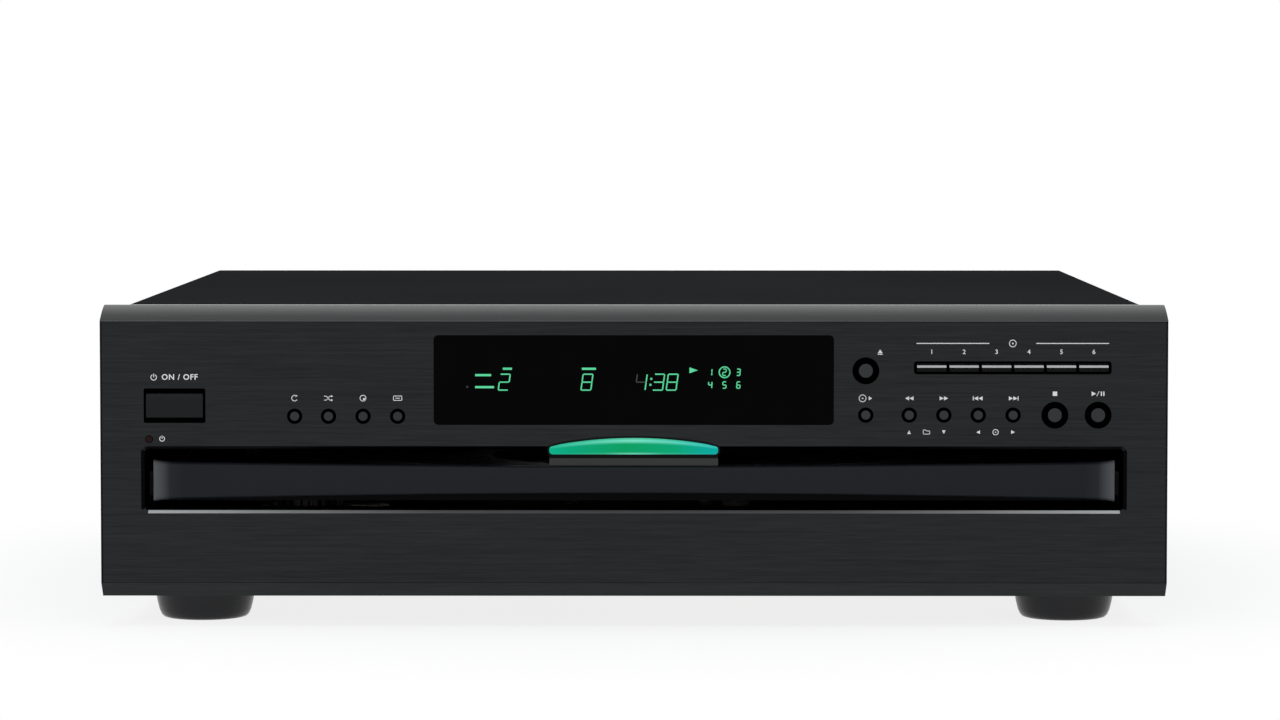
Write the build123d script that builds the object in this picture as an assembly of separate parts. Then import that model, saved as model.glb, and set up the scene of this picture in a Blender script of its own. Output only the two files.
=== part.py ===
from build123d import *
import math
import os

os.makedirs("parts", exist_ok=True)

# Six-disc carousel CD changer. Millimetres, +X right, +Y back, +Z up.
# The origin is under the middle of the whole set, on the surface it stands on.
# The discs set the carousel, the carousel sets the drawer, and the drawer sets the casing.

# Clearances
slip = 0.3
running_fit = 0.05
button_clear = 0.3

# Carousel, seen from above
disc_radius = 60.0
disc_height = 1.2
disc_room = 0.75
well_count = 6
well_rib = 1.5
rim_wall = 1.25
small_well_radius = 40.5
slot_width = 40.0
post_radius = 8.0
hub_radius = 30.0
cap_radius = 20.0
ring_module = 3.0
ring_teeth = 60
ring_wall = 6.0
pinion_teeth = 12
pinion_angle = 50.0
well_radius = disc_radius + disc_room
well_ring = 2 * well_radius + well_rib
carousel_radius = well_ring + well_radius + rim_wall

# Widths, from the carousel outward
tray_side_room = 9.0
runner_reach = 4.0
slot_room = 1.7
slot_margin = 17.8
face_room = 3.3
rail_depth = 12.0
cover_room = 4.35
cover_sheet = 0.8
sheet = 1.0
foot_inset = 31.35
tray_half = carousel_radius + tray_side_room
slot_half = tray_half + runner_reach + slot_room
face_half = slot_half - face_room
rail_outer = tray_half + rail_depth
cover_half = rail_outer + cover_room
chassis_half = cover_half - cover_sheet
foot_x = cover_half - foot_inset
width = 2 * (slot_half + slot_margin)

# Depths, from the front to the back
nose_reach = 3.0
face_depth = 8.0
tray_wall = 2.5
tray_room = 1.0
mechanism_room = 38.5
rear_depth = 10.0
depth = nose_reach + face_depth + tray_wall + tray_room + 2 * carousel_radius + mechanism_room + rear_depth
front_y = -depth / 2
back_y = depth / 2
rear_y = back_y - rear_depth
panel_y = front_y + nose_reach
panel_depth = 20.0
panel_back = panel_y + panel_depth
panel_wall = 3.0
panel_side = 2.5
face_back = panel_y + panel_wall
tray_front = panel_y + face_depth
carousel_y = tray_front + tray_wall + tray_room + carousel_radius
tray_back = carousel_y + carousel_radius + 4.0
rail_front = panel_back + 3.5
rail_back = tray_back - 4.0
drive_y = panel_back + 25.5
foot_front = panel_y + 41.0
foot_rear = rear_y - 41.5

# Heights, from the surface up to the drawer
panel_bottom = 12.2
chassis_low = panel_bottom + 0.8
flange_height = 12.0
slot_low = 47.8
rack_low = slot_low + 0.5
rack_height = 3.0
tray_floor = rack_low + rack_height
tray_sheet = 2.0
runner_low = tray_floor + 4.7
runner_height = 3.0
rail_top = runner_low + 6.0
ring_low = tray_floor + 3.0
ring_face = 3.7
plate_low = ring_low + ring_face
floor_wall = 1.5
small_well_depth = 1.5
well_depth = 4.3
small_well_floor = plate_low + floor_wall
well_floor = small_well_floor + small_well_depth
plate_top = well_floor + well_depth
hub_top = plate_top - 3.1
cap_top = plate_top - 0.1
tray_wall_top = plate_top - 1.3
face_top = plate_top + 0.44
face_top_end = face_top + 1.66
face_low = slot_low + 7.15
face_low_end = slot_low + 3.75
face_bow = 7.0

# Heights of the front, above the drawer
apron_low = plate_top + 0.8
slot_high = apron_low + 6.7
slot_bevel = 1.3
slot_corner = 1.5
window_low = slot_high + 10.0
window_height = 36.6
window_high = window_low + window_height
window_half = 81.5
window_corner = 2.0
window_rim = 5.0
tube_half = 72.0
tube_thick = 4.7
height = window_high + 11.6
panel_top = height
cover_top = height - 0.5
bevel_height = 5.7
bevel_depth = 16.0
bevel_crown = 0.5
chamfer_height = 5.9
chamfer_depth = 6.0

# Lamp above the drawer
lamp_half = 34.4
lamp_low = slot_high - 2.0
lamp_end = slot_high + 1.2
lamp_top = slot_high + 4.7
lamp_proud = 0.8
apron_inset = 1.0
lamp_seat = 6.5

# Buttons, placed from the panel's ends and the top of the slot
small_hole = 3.15
small_radius = 2.05
large_hole = 5.5
large_radius = 3.15
button_travel = 0.8
button_proud = 1.0
left_end = -width / 2
right_end = width / 2
left_row = slot_high + 13.5
right_row = slot_high + 14.05
eject_z = right_row + 18.05
left_insets = {"repeat": 79.3, "random": 93.1, "dimmer": 107.2, "display": 121.3}
right_insets = {"disc_skip": 123.0, "rewind": 105.3, "forward": 91.2, "previous": 77.2, "next": 63.0}
large_insets = {"stop": 46.0, "play": 28.4}
left_xs = {name: left_end + inset for name, inset in left_insets.items()}
right_xs = {name: right_end - inset for name, inset in right_insets.items()}
large_xs = {name: right_end - inset for name, inset in large_insets.items()}
select_first = right_end - 96.2
select_pitch = 13.19
select_width = 12.3
select_count = 6
select_low = slot_high + 30.7
select_high = select_low + 5.3
select_end = 1.1
power_x = left_end + 30.35
power_z = slot_high + 17.8
power_size = (23.2, 9.8)
power_recess = (25.2, 14.1)
standby_x = left_end + 19.9
standby_z = slot_high + 4.1
standby_radius = 1.3

# Feet and screws
foot_radius = 20.65
foot_base = 17.5
screw_head = 3.6

# Drawer
notch_half = 56.0
motor_radius = 12.0
motor_height = 20.0
motor_shaft = 1.5

# Drawer drive
rack_module = 1.5
rack_teeth = 55
rack_after = 52
rack_inset = 44.0
drive_teeth = 18
wheel_module = 1.5
wheel_teeth = 24
step_teeth = 10
wheel_low = rack_low - 5.3
wheel_face = 3.4
pulley_low = wheel_low - 6.0
pulley_height = 4.0
pulley_groove = 13.7
pulley_flange = 15.0
small_groove = 3.2
small_flange = 4.5
belt_sheet = 1.0
belt_height = 2.0
belt_span = 37.5
axle_radius = 2.0
rack_line = rack_inset - tray_half
drive_x = rack_line + rack_module * drive_teeth / 2
step_x = drive_x + wheel_module * (wheel_teeth + step_teeth) / 2
small_x = step_x + belt_span

# Playing mechanism, given level as it plays
play_y = carousel_y + well_ring
lift_arm = 90.0
lift_angle = 8.0
hinge_y = play_y + lift_arm
deck_top = plate_low - 1.0
hinge_z = deck_top - 7.0
deck_sheet = 2.0
deck_half = notch_half - 4.0
deck_front = play_y - 20.0
notch_front = deck_front - 2.0
shoulder_z = plate_top + 1.7
turntable_radius = 15.0
spigot_radius = 7.4
spigot_height = 2.0
spindle_radius = 1.0
spindle_motor_radius = 11.5
spindle_motor_low = deck_top - 13.0
sled_start = 24.0
sled_travel = 34.0
sled_half = 21.0
sled_front = 9.0
sled_rear = 12.0
sled_low = deck_top - 8.0
sled_top = deck_top - 2.5
sled_opening = 24.0
rod_x = 16.0
rod_z = deck_top - 5.0
rod_radius = 1.5
lens_radius = 4.0
lens_top = shoulder_z - 1.5
sled_gear_module = 1.0
sled_gear_teeth = 16
sled_gear_y = play_y + 44.0
cam_travel = 30.0
cam_y = deck_front - 5.5
cam_sheet = 2.0
cam_pin_x = 32.0
cam_pin_z = deck_top - 15.0
cam_pin_radius = 1.5

# Clamp
clamp_low = shoulder_z + disc_height + slip
clamp_radius = 16.0
clamp_neck = 10.0
bridge_low = clamp_low + 3.5
bridge_sheet = 2.0
bridge_width = 38.0
bridge_flange = 6.0

# Electronics
board_sheet = 1.6
board_y = face_back + 7.5
main_board_z = bridge_low + 16.0
jack_z = main_board_z + 12.0
jack_radius = 4.15
jack_xs = (60.0, 80.0)
optical_x = 110.0
remote_xs = (140.0, 158.0)
remote_bore = 1.8
gland_x = 45.35 - cover_half
gland_z = chassis_low + 27.0
gland_radius = 6.0
gland_bore = 3.0
transformer_x = 65.35 - cover_half
transformer_y = rear_y - 62.5


def block(xs, ys, zs):
    """A box between two values on each axis."""
    size = [b - a for a, b in (xs, ys, zs)]
    middle = [(a + b) / 2 for a, b in (xs, ys, zs)]
    return Pos(*middle) * Box(*size)


def rod_along_x(radius, xs, y, z):
    return Pos((xs[0] + xs[1]) / 2, y, z) * Rot(0, 90, 0) * Cylinder(radius, xs[1] - xs[0])


def rod_along_y(radius, ys, x, z):
    return Pos(x, (ys[0] + ys[1]) / 2, z) * Rot(90, 0, 0) * Cylinder(radius, ys[1] - ys[0])


def rod_along_z(radius, zs, x=0.0, y=0.0):
    return Pos(x, y, (zs[0] + zs[1]) / 2) * Cylinder(radius, zs[1] - zs[0])


def front_plane(y):
    """A plane seen from the front: local x is right, local y is up."""
    return Plane((0, y, 0), x_dir=(1, 0, 0), z_dir=(0, -1, 0))


def raise_front(sketch, y_front, y_back):
    """Give a front-view sketch its depth, from y_back forward to y_front."""
    return extrude(front_plane(y_back) * sketch, y_back - y_front)


def profile_along_x(points, half):
    """A side outline of (y, z) points, run along x on both sides of the middle."""
    return extrude(Plane.YZ * make_face(Polyline(*points, close=True)), half, both=True)


def outline_between(points, zs):
    """A top-view outline raised between two heights."""
    face = make_face(Polyline(*points, close=True))
    return Pos(0, 0, zs[0]) * extrude(face, zs[1] - zs[0])


def involute(angle):
    return math.tan(angle) - angle


def gear(module, teeth, zs, x, y, direction, play=0.12):
    """Spur gear with stub teeth; direction is the angle in degrees of one tooth's middle."""
    pitch_radius = module * teeth / 2
    base = pitch_radius * math.cos(math.radians(20))
    tip = pitch_radius + 0.8 * module
    root = pitch_radius - 1.05 * module
    half_pitch = math.pi / (2 * teeth) - play * module / pitch_radius

    def half_angle(radius):
        if radius <= base:
            return half_pitch + involute(math.radians(20))
        return half_pitch + involute(math.radians(20)) - involute(math.acos(base / radius))

    points = []
    for tooth in range(teeth):
        middle = math.radians(direction) + tooth * 2 * math.pi / teeth
        for radius, side in ((root, -1), (tip, -1), (tip, 1), (root, 1)):
            angle = middle + side * half_angle(radius)
            points.append((radius * math.cos(angle), radius * math.sin(angle)))
    return Pos(x, y, 0) * outline_between(points, zs)


def save(name, *solids):
    """Write one named piece, made of one or more separate solids."""
    shape = solids[0] if len(solids) == 1 else Compound(children=list(solids))
    shape.label = name
    export_step(shape, f"parts/{name}.step")


# Places that several pieces share
subframe_sheet = 2.5
subframe_back = face_back + subframe_sheet
slot_shape = Pos(0, (slot_low + slot_high) / 2) * RectangleRounded(
    2 * slot_half, slot_high - slot_low, slot_corner
)
window_shape = Pos(0, (window_low + window_high) / 2) * RectangleRounded(
    2 * window_half, window_high - window_low, window_corner
)
select_z = (select_low + select_high) / 2
select_xs = [select_first + i * select_pitch for i in range(select_count)]
select_half = (select_width / 2) + select_end
small_places = [(x, left_row) for x in left_xs.values()] + [(x, right_row) for x in right_xs.values()]
large_places = [(x, right_row) for x in large_xs.values()] + [(right_xs["disc_skip"], eject_z)]


def lamp_shape(grow=0.0):
    """Front view of the arched lamp, larger all round by grow."""
    half = lamp_half + grow
    low = lamp_low - grow
    base = Line((-half, low), (half, low))
    right = Line((half, low), (half, lamp_end + grow))
    arch = ThreePointArc((half, lamp_end + grow), (0, lamp_top + grow), (-half, lamp_end + grow))
    left = Line((-half, lamp_end + grow), (-half, low))
    return make_face(Curve() + [base, right, arch, left])


def select_slot(grow=0.0):
    length = select_xs[-1] - select_xs[0] + 2 * select_half
    tall = select_high - select_low + 2 * grow
    middle = (select_xs[0] + select_xs[-1]) / 2
    return Pos(middle, select_z) * RectangleRounded(length + 2 * grow, tall, 1.2)


def slot_lip():
    """The cutter for the bevel round the drawer slot, widest at the panel's face."""
    middle = (slot_low + slot_high) / 2
    tall = slot_high - slot_low
    narrow = Pos(0, middle) * RectangleRounded(2 * slot_half, tall, slot_corner)
    wide = Pos(0, middle) * RectangleRounded(
        2 * (slot_half + slot_bevel), tall + 2 * slot_bevel, slot_corner + slot_bevel
    )
    return loft([front_plane(panel_y + slot_bevel) * narrow, front_plane(panel_y) * wide], ruled=True)


def front_panel():
    outer = make_face(
        Curve()
        + [
            Line((panel_back, panel_bottom), (panel_y + chamfer_depth, panel_bottom)),
            Line((panel_y + chamfer_depth, panel_bottom), (panel_y, panel_bottom + chamfer_height)),
            Line((panel_y, panel_bottom + chamfer_height), (panel_y, panel_top - bevel_height)),
            ThreePointArc(
                (panel_y, panel_top - bevel_height),
                (
                    panel_y + bevel_depth / 2 - bevel_crown,
                    panel_top - bevel_height / 2 + bevel_crown,
                ),
                (panel_y + bevel_depth, panel_top),
            ),
            Line((panel_y + bevel_depth, panel_top), (panel_back, panel_top)),
            Line((panel_back, panel_top), (panel_back, panel_bottom)),
        ]
    )
    body = extrude(Plane.YZ * outer, width / 2, both=True)
    inner = [
        (panel_back + 1, panel_bottom + panel_side),
        (panel_y + chamfer_depth + 1, panel_bottom + panel_side),
        (face_back, panel_bottom + panel_side + chamfer_height),
        (face_back, panel_top - panel_side - bevel_height),
        (panel_y + bevel_depth, panel_top - panel_side),
        (panel_back + 1, panel_top - panel_side),
    ]
    body -= profile_along_x(inner, width / 2 - panel_side)
    cuts = [raise_front(slot_shape, panel_y - 1, face_back + 1)]
    cuts.append(slot_lip())
    cuts.append(raise_front(window_shape, panel_y - 1, face_back + 1))
    cuts.append(raise_front(lamp_shape(slip), panel_y - 1, face_back + 1))
    cuts.append(raise_front(select_slot(), panel_y - 1, face_back + 1))
    power = Pos(power_x, power_z) * RectangleRounded(*power_recess, 0.8)
    cuts.append(raise_front(power, panel_y - 1, face_back + 1))
    for x, z in small_places:
        cuts.append(rod_along_y(small_hole, (panel_y - 1, face_back + 1), x, z))
    for x, z in large_places:
        cuts.append(rod_along_y(large_hole, (panel_y - 1, face_back + 1), x, z))
    cuts.append(rod_along_y(standby_radius + slip, (panel_y - 1, face_back + 1), standby_x, standby_z))
    return body - cuts


def front_subframe():
    """Black moulding behind the panel: a plate, the drawer's tunnel and a foot on the chassis."""
    low = panel_bottom + panel_side + chamfer_height
    high = panel_top - panel_side - bevel_height
    half = width / 2 - panel_side - slip
    body = block((-half, half), (face_back, subframe_back), (low, high))
    tunnel = RectangleRounded(
        2 * (slot_half + panel_side), slot_high - slot_low + 3, slot_corner + 1.5
    )
    body += raise_front(Pos(0, (slot_low + slot_high) / 2) * tunnel, subframe_back, panel_back)
    for side in (-1, 1):
        xs = sorted((side * (slot_half + panel_side), side * half))
        body += block(xs, (subframe_back, panel_back), (low, high))
    for side in (-1, 1):
        xs = sorted((side * (chassis_half - 30), side * (chassis_half - 12)))
        body += block(xs, (subframe_back, panel_back), (low, low + flange_height))
    body -= raise_front(slot_shape, face_back - 1, panel_back + 1)
    body -= block(
        (-window_half + window_rim, window_half - window_rim),
        (face_back - 1, subframe_back + 1),
        (window_low + window_rim, window_high - window_rim),
    )
    through = (face_back - 1, subframe_back + 1)
    body -= block((-lamp_half + 6, lamp_half - 6), through, (74.8, 76.2))
    for x, z in small_places:
        body -= key_stem(x, z, stem_size(small_radius), through, button_clear)
    for x, z in large_places:
        body -= key_stem(x, z, stem_size(large_radius), through, button_clear)
    for x in select_xs:
        body -= key_stem(x, select_z, select_stem, through, button_clear)
    body -= key_stem(power_x, power_z, power_stem, through, button_clear)
    body -= rod_along_y(standby_radius + 0.2, (face_back - 1, subframe_back + 1), standby_x, standby_z)
    return body


select_stem = (8.0, 2.2)
power_stem = (16.0, 4.0)
head_back = face_back - button_travel - 0.5
catch_front = subframe_back + slip
catch_back = catch_front + 1.0
tail_back = catch_back + 1.0
switch_front = tail_back + button_travel + slip


def stem_size(head_radius):
    """The square stem of a round button fits inside its head."""
    return (head_radius * 1.2, head_radius * 1.2)


def key_stem(x, z, size, ys, grow=0.0):
    half_x = size[0] / 2 + grow
    half_z = size[1] / 2 + grow
    return block((x - half_x, x + half_x), ys, (z - half_z, z + half_z))


def round_button(x, z, radius):
    """A round cap with a bevelled face on a square stem, with a catch behind the subframe."""
    tip = panel_y - button_proud
    bevel = 0.5
    outline = make_face(
        Polyline(
            (0, tip),
            (radius - 2 * bevel, tip),
            (radius, tip + bevel),
            (radius, head_back),
            (0, head_back),
            close=True,
        )
    )
    head = Pos(x, 0, z) * revolve(outline, Axis.Y)
    stem = key_stem(x, z, stem_size(radius), (head_back, tail_back))
    catch = key_stem(x, z, stem_size(radius), (catch_front, catch_back), 0.8)
    return head + stem + catch


def select_key(x):
    """A wide key whose ridge lies a little under the middle."""
    ridge = panel_y - button_proud
    top = select_z + 1.95
    low = select_z - 1.95
    outline = [
        (ridge, select_z - 0.3),
        (ridge + 1.3, top),
        (head_back, top),
        (head_back, low),
        (ridge + 1.1, low),
        (ridge, select_z - 0.5),
    ]
    head = Pos(x, 0, 0) * profile_along_x(outline, select_width / 2)
    stem = key_stem(x, select_z, select_stem, (head_back, catch_front))
    catch = key_stem(x, select_z, select_stem, (catch_front, catch_back), 0.7)
    tail = key_stem(x, select_z, (3.0, 2.2), (catch_back, tail_back))
    return head + stem + catch + tail


def power_key():
    """A broad key with bevelled edges."""
    tip = panel_y - button_proud
    head = raise_front(Pos(power_x, power_z) * Rectangle(*power_size), tip, head_back)
    head = chamfer(head.faces().sort_by(Axis.Y)[0].edges(), 0.8)
    stem = key_stem(power_x, power_z, power_stem, (head_back, catch_front))
    catch = key_stem(power_x, power_z, power_stem, (catch_front, catch_back), 1.0)
    tail = key_stem(power_x, power_z, (5.0, 3.0), (catch_back, tail_back))
    return head + stem + catch + tail


def display_window():
    clear = Pos(0, (window_low + window_high) / 2) * RectangleRounded(
        2 * window_half - 0.3, window_high - window_low - 0.3, window_corner
    )
    return raise_front(clear, panel_y + 0.3, face_back)


def lamp_lens():
    body = raise_front(lamp_shape(), panel_y - lamp_proud, face_back)
    return body


def lamp_holder():
    """The dark apron under the lamp, hung from the roof of the tunnel."""
    apron = block(
        (-lamp_half, lamp_half), (panel_y + apron_inset, panel_back - lamp_seat), (apron_low, lamp_low)
    )
    hanger = block(
        (-lamp_half, lamp_half), (face_back, panel_back - lamp_seat), (lamp_low, slot_high)
    )
    return apron + hanger


def standby_lamp():
    lens = rod_along_y(standby_radius, (panel_y - 0.2, board_y), standby_x, standby_z)
    return lens + rod_along_y(standby_radius + 0.7, (catch_back, board_y), standby_x, standby_z)


def display_tube():
    low = window_low + 3
    high = window_high - 3
    glass = block((-tube_half, tube_half), (board_y - tube_thick, board_y), (low, high))
    tip = rod_along_x(1.6, (tube_half, tube_half + 5), board_y - 2, (low + high) / 2)
    return glass + tip


def control_board():
    """The board behind the front, with one push switch for every button."""
    board_half = slot_half + 1.8
    board_top = height - 10.0
    body = block((-board_half, board_half), (board_y, board_y + board_sheet), (slot_high + 2.7, board_top))
    places = small_places + large_places + [(x, select_z) for x in select_xs] + [(power_x, power_z)]
    for x, z in places:
        body += block((x - 2.5, x + 2.5), (switch_front, board_y), (z - 2.5, z + 2.5))
    for side in (-1, 1):
        hole = rod_along_y(1.6, (board_y - 1, board_y + 3), side * (board_half - 9.5), board_top - 4)
        body -= hole
    body += block((40, 70), (board_y + board_sheet, board_y + 11.5), (board_top - 21, board_top - 15))
    return body


def base_chassis():
    """Pressed steel pan with flanges, bottom vents, axle posts, cam guides and hinge brackets."""
    floor_top = chassis_low + sheet
    body = block((-chassis_half, chassis_half), (panel_back, rear_y - sheet), (chassis_low, floor_top))
    body += block(
        (-chassis_half, chassis_half), (panel_back, panel_back + sheet), (floor_top, floor_top + 19)
    )
    for side in (-1, 1):
        xs = sorted((side * (chassis_half - sheet), side * chassis_half))
        body += block(xs, (panel_back, rear_y - sheet), (floor_top, floor_top + flange_height))
        lug_xs = sorted((side * (deck_half + slip), side * (deck_half + slip + 3)))
        bracket = block(lug_xs, (hinge_y - 6, hinge_y + 6), (floor_top, hinge_z + 6))
        body += bracket
        guide = block(
            sorted((side * 26, side * 38)), (cam_y - 10, cam_y + 3), (floor_top, floor_top + 4)
        )
        body += guide
    body -= rod_along_x(axle_radius + running_fit, (-70, 70), hinge_y, hinge_z)
    for i in range(9):
        for side in (-1, 1):
            x = side * 80 + (i - 4) * 9
            vent_front = panel_back + 103.5
            body -= block((x - 2, x + 2), (vent_front, vent_front + 40), (chassis_low - 1, floor_top + 1))
    body += rod_along_z(4.5, (floor_top, wheel_low - 1 - slip), drive_x, drive_y)
    body += rod_along_z(axle_radius, (wheel_low - 1 - slip, rack_low + 2), drive_x, drive_y)
    body += rod_along_z(4.5, (floor_top, pulley_low - slip), step_x, drive_y)
    body += rod_along_z(axle_radius, (pulley_low - slip, wheel_low + wheel_face), step_x, drive_y)
    body += rod_along_z(motor_radius + 2, (floor_top, floor_top + 3), small_x, drive_y)
    return body


def rear_panel():
    """Steel back with round openings for the sockets and the mains gland."""
    outline = RectangleRounded(2 * chassis_half, 2 * (cover_top - cover_sheet), 1.2)
    body = raise_front(outline, rear_y - sheet, rear_y)
    body -= block((-width, width), (rear_y - 2, rear_y + 1), (-height, chassis_low))
    for x in jack_xs:
        body -= rod_along_y(jack_radius + 1.2, (rear_y - 3, rear_y + 1), x, jack_z)
    body -= block((optical_x - 5, optical_x + 5), (rear_y - 3, rear_y + 1), (jack_z - 5, jack_z + 5))
    for x in remote_xs:
        body -= rod_along_y(4.0, (rear_y - 3, rear_y + 1), x, jack_z)
    body -= rod_along_y(gland_radius, (rear_y - 3, rear_y + 1), gland_x, gland_z)
    for i in range(8):
        x = -60 + i * 9
        body -= block((x - 2, x + 2), (rear_y - 3, rear_y + 1), (cover_top - 46.5, cover_top - 14.5))
    return body


def top_cover():
    """Folded sheet: a flat top, two sides and a small return at the foot of each side."""
    outer = RectangleRounded(2 * cover_half, 2 * cover_top, 2.0)
    inner = RectangleRounded(2 * chassis_half, 2 * (cover_top - cover_sheet), 1.2)
    skin = raise_front(outer, panel_back, rear_y) - raise_front(inner, panel_back - 1, rear_y + 1)
    keep = block((-cover_half - 1, cover_half + 1), (panel_back, rear_y), (chassis_low, cover_top + 1))
    body = skin & keep
    return body


side_screws = [(side, y, chassis_low + 7) for side in (-1, 1) for y in (panel_back + 103.5, rear_y - 76.5)]
rear_screws = [(x, cover_top - 6.5) for x in (20.35 - cover_half, 0, cover_half - 20.35)]


def cover_screws():
    """Two screws in each side and three in the back."""
    pieces = []
    for side, y, z in side_screws:
        head = sorted((side * cover_half, side * (cover_half + 2)))
        pieces.append(rod_along_x(screw_head, head, y, z))
    for x, z in rear_screws:
        pieces.append(rod_along_y(screw_head, (rear_y, rear_y + 2), x, z))
    return pieces


def feet():
    """Four round feet, each a wide collar over a narrower base."""
    half = make_face(
        Polyline(
            (0, 0),
            (foot_base - 2.2, 0),
            (foot_base - 0.6, 1.0),
            (foot_base + 0.6, 3.6),
            (foot_radius, 9.5),
            (foot_radius, chassis_low),
            (0, chassis_low),
            close=True,
        )
    )
    foot = revolve(Plane.XZ * half, Axis.Z)
    return [Pos(x, y, 0) * foot for x in (-foot_x, foot_x) for y in (foot_front, foot_rear)]


def rack(count, module, line, y_gap, direction, depth, zs):
    """Straight teeth along y; a gap lies at y_gap, and the teeth face along x by direction."""
    pitch = module * math.pi
    foot = line - direction * 1.05 * module
    tip = line + direction * 0.8 * module
    lean = math.tan(math.radians(20))
    root_half = pitch / 4 + 1.05 * module * lean - 0.06 * module
    tip_half = pitch / 4 - 0.8 * module * lean - 0.06 * module
    points = [(foot - direction * depth, y_gap)]
    for i in range(count):
        middle = y_gap - (i + 0.5) * pitch
        points += [(foot, middle + root_half), (tip, middle + tip_half)]
        points += [(tip, middle - tip_half), (foot, middle - root_half)]
    points.append((foot - direction * depth, y_gap - count * pitch))
    return outline_between(points, zs)


pinion_place = (
    (ring_teeth + pinion_teeth) * ring_module / 2 * math.cos(math.radians(pinion_angle)),
    carousel_y + (ring_teeth + pinion_teeth) * ring_module / 2 * math.sin(math.radians(pinion_angle)),
)


def drawer_tray():
    """Shallow tray with a notch for the mechanism, a toothed rack, runners and a bearing post."""
    floor_high = tray_floor + tray_sheet
    body = block((-tray_half, tray_half), (tray_front, tray_back), (tray_floor, floor_high))
    wall_zs = (floor_high, tray_wall_top)
    body += block((-tray_half, tray_half), (tray_front, tray_front + tray_wall), wall_zs)
    for side in (-1, 1):
        wall = sorted((side * (tray_half - 2), side * tray_half))
        body += block(wall, (tray_front, tray_back), (floor_high, tray_wall_top))
        runner = sorted((side * tray_half, side * (tray_half + runner_reach)))
        body += block(runner, (rail_front + 5, tray_back), (runner_low, runner_low + runner_height))
    body -= block((-notch_half, notch_half), (notch_front, tray_back + 1), (tray_floor - 1, floor_high + 1))
    body += rod_along_z(post_radius, (floor_high, hub_top + slip), 0, carousel_y)
    body -= rod_along_z(motor_shaft + slip, (tray_floor - 1, floor_high + 1), *pinion_place)
    body += rack(rack_teeth, rack_module, rack_line, drive_y + rack_after * rack_module * math.pi,
                 1, 4.0, (rack_low, tray_floor))
    return body


def drawer_front():
    """The bowed bar that closes the slot, lower along its middle than at its ends."""
    back = tray_front
    nose = front_y
    tips = front_y + face_bow
    corner = 3.0
    bow = make_face(
        Curve()
        + [
            ThreePointArc((-face_half, tips), (0, nose), (face_half, tips)),
            Line((face_half, tips), (face_half, back)),
            Line((face_half, back), (-face_half, back)),
            Line((-face_half, back), (-face_half, tips)),
        ]
    )
    bow = Pos(0, 0, face_low_end - 5) * extrude(bow, 30)
    front = make_face(
        Curve()
        + [
            ThreePointArc((-face_half, face_top_end), (0, face_top), (face_half, face_top_end)),
            Line((face_half, face_top_end), (face_half, face_low_end)),
            ThreePointArc((face_half, face_low_end), (0, face_low), (-face_half, face_low_end)),
            Line((-face_half, face_low_end), (-face_half, face_top_end)),
        ]
    )
    body = bow & raise_front(front, front_y - 5, back)
    uprights = [e for e in body.edges().filter_by(Axis.Z) if e.center().Y < back - 1]
    return fillet(uprights, corner)


def slide_rails():
    """Two fixed channels, each closed round a runner of the tray and standing on the chassis."""
    pieces = []
    for side in (-1, 1):
        inner = tray_half + slip + 1
        bar_xs = sorted((side * inner, side * rail_outer))
        bar = block(bar_xs, (rail_front, rail_back), (runner_low - 4, rail_top))
        groove = block(
            sorted((side * (inner - 1), side * (tray_half + runner_reach + slip))),
            (rail_front - 1, rail_back + 1),
            (runner_low - slip, runner_low + runner_height + slip),
        )
        bar -= groove
        for y in (rail_front + 20, rail_front + 130, rail_back - 118, rail_back - 18):
            leg = sorted((side * (rail_outer - 5), side * rail_outer))
            bar += block(leg, (y - 8, y + 8), (chassis_low + sheet, runner_low - 4))
        pieces.append(bar)
    return pieces


def carousel():
    """Six open disc wells round a hub, with a bearing skirt below."""
    outline = make_face(
        Polyline(
            (post_radius + running_fit, hub_top),
            (hub_radius, hub_top),
            (hub_radius + 3, plate_top),
            (carousel_radius - 0.8, plate_top),
            (carousel_radius, plate_top - 0.8),
            (carousel_radius, plate_low),
            (post_radius + 6, plate_low),
            (post_radius + 6, tray_floor + tray_sheet + slip),
            (post_radius + running_fit, tray_floor + tray_sheet + slip),
            close=True,
        )
    )
    body = revolve(Plane.XZ * outline, Axis.Z)
    step = 360 / well_count
    for i in range(well_count):
        well = rod_along_z(well_radius, (well_floor, plate_top + 1))
        well += rod_along_z(small_well_radius, (small_well_floor, plate_top + 1))
        well += rod_along_z(slot_width / 2, (plate_low - 1, plate_top + 1))
        slot_half_width = slot_width / 2
        well += block((-slot_half_width, slot_half_width), (0, well_radius + 10), (plate_low - 1, plate_top + 1))
        body -= Rot(0, 0, i * step) * (Pos(0, well_ring, 0) * well)
    return Pos(0, carousel_y, 0) * body


def carousel_ring():
    """Toothed ring fixed to the underside of the carousel."""
    teeth = gear(ring_module, ring_teeth, (ring_low, plate_low), 0, carousel_y, pinion_angle)
    inner = ring_module * ring_teeth / 2 - ring_wall
    return teeth - rod_along_z(inner, (ring_low - 1, plate_low + 1), 0, carousel_y)


def carousel_cap():
    """Retaining cap screwed to the top of the post."""
    low = hub_top + slip
    cap = rod_along_z(cap_radius, (low, cap_top), 0, carousel_y)
    cap = chamfer(cap.edges().sort_by(Axis.Z)[-1], 0.8)
    return cap - rod_along_z(3.0, (cap_top - 1.2, cap_top + 1), 0, carousel_y)


def carousel_pinion():
    direction = pinion_angle + 180 + 180 / pinion_teeth
    x, y = pinion_place
    body = gear(ring_module, pinion_teeth, (ring_low, plate_low - 2 * slip), x, y, direction)
    return body - rod_along_z(motor_shaft + running_fit, (ring_low - 1, plate_low), x, y)


def carousel_motor():
    """Can motor hung under the tray, with its shaft through the floor."""
    x, y = pinion_place
    can = rod_along_z(motor_radius, (tray_floor - motor_height, tray_floor), x, y)
    can = chamfer(can.edges().sort_by(Axis.Z)[0], 1.2)
    return can + rod_along_z(motor_shaft, (tray_floor, plate_low - 1), x, y)


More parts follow.
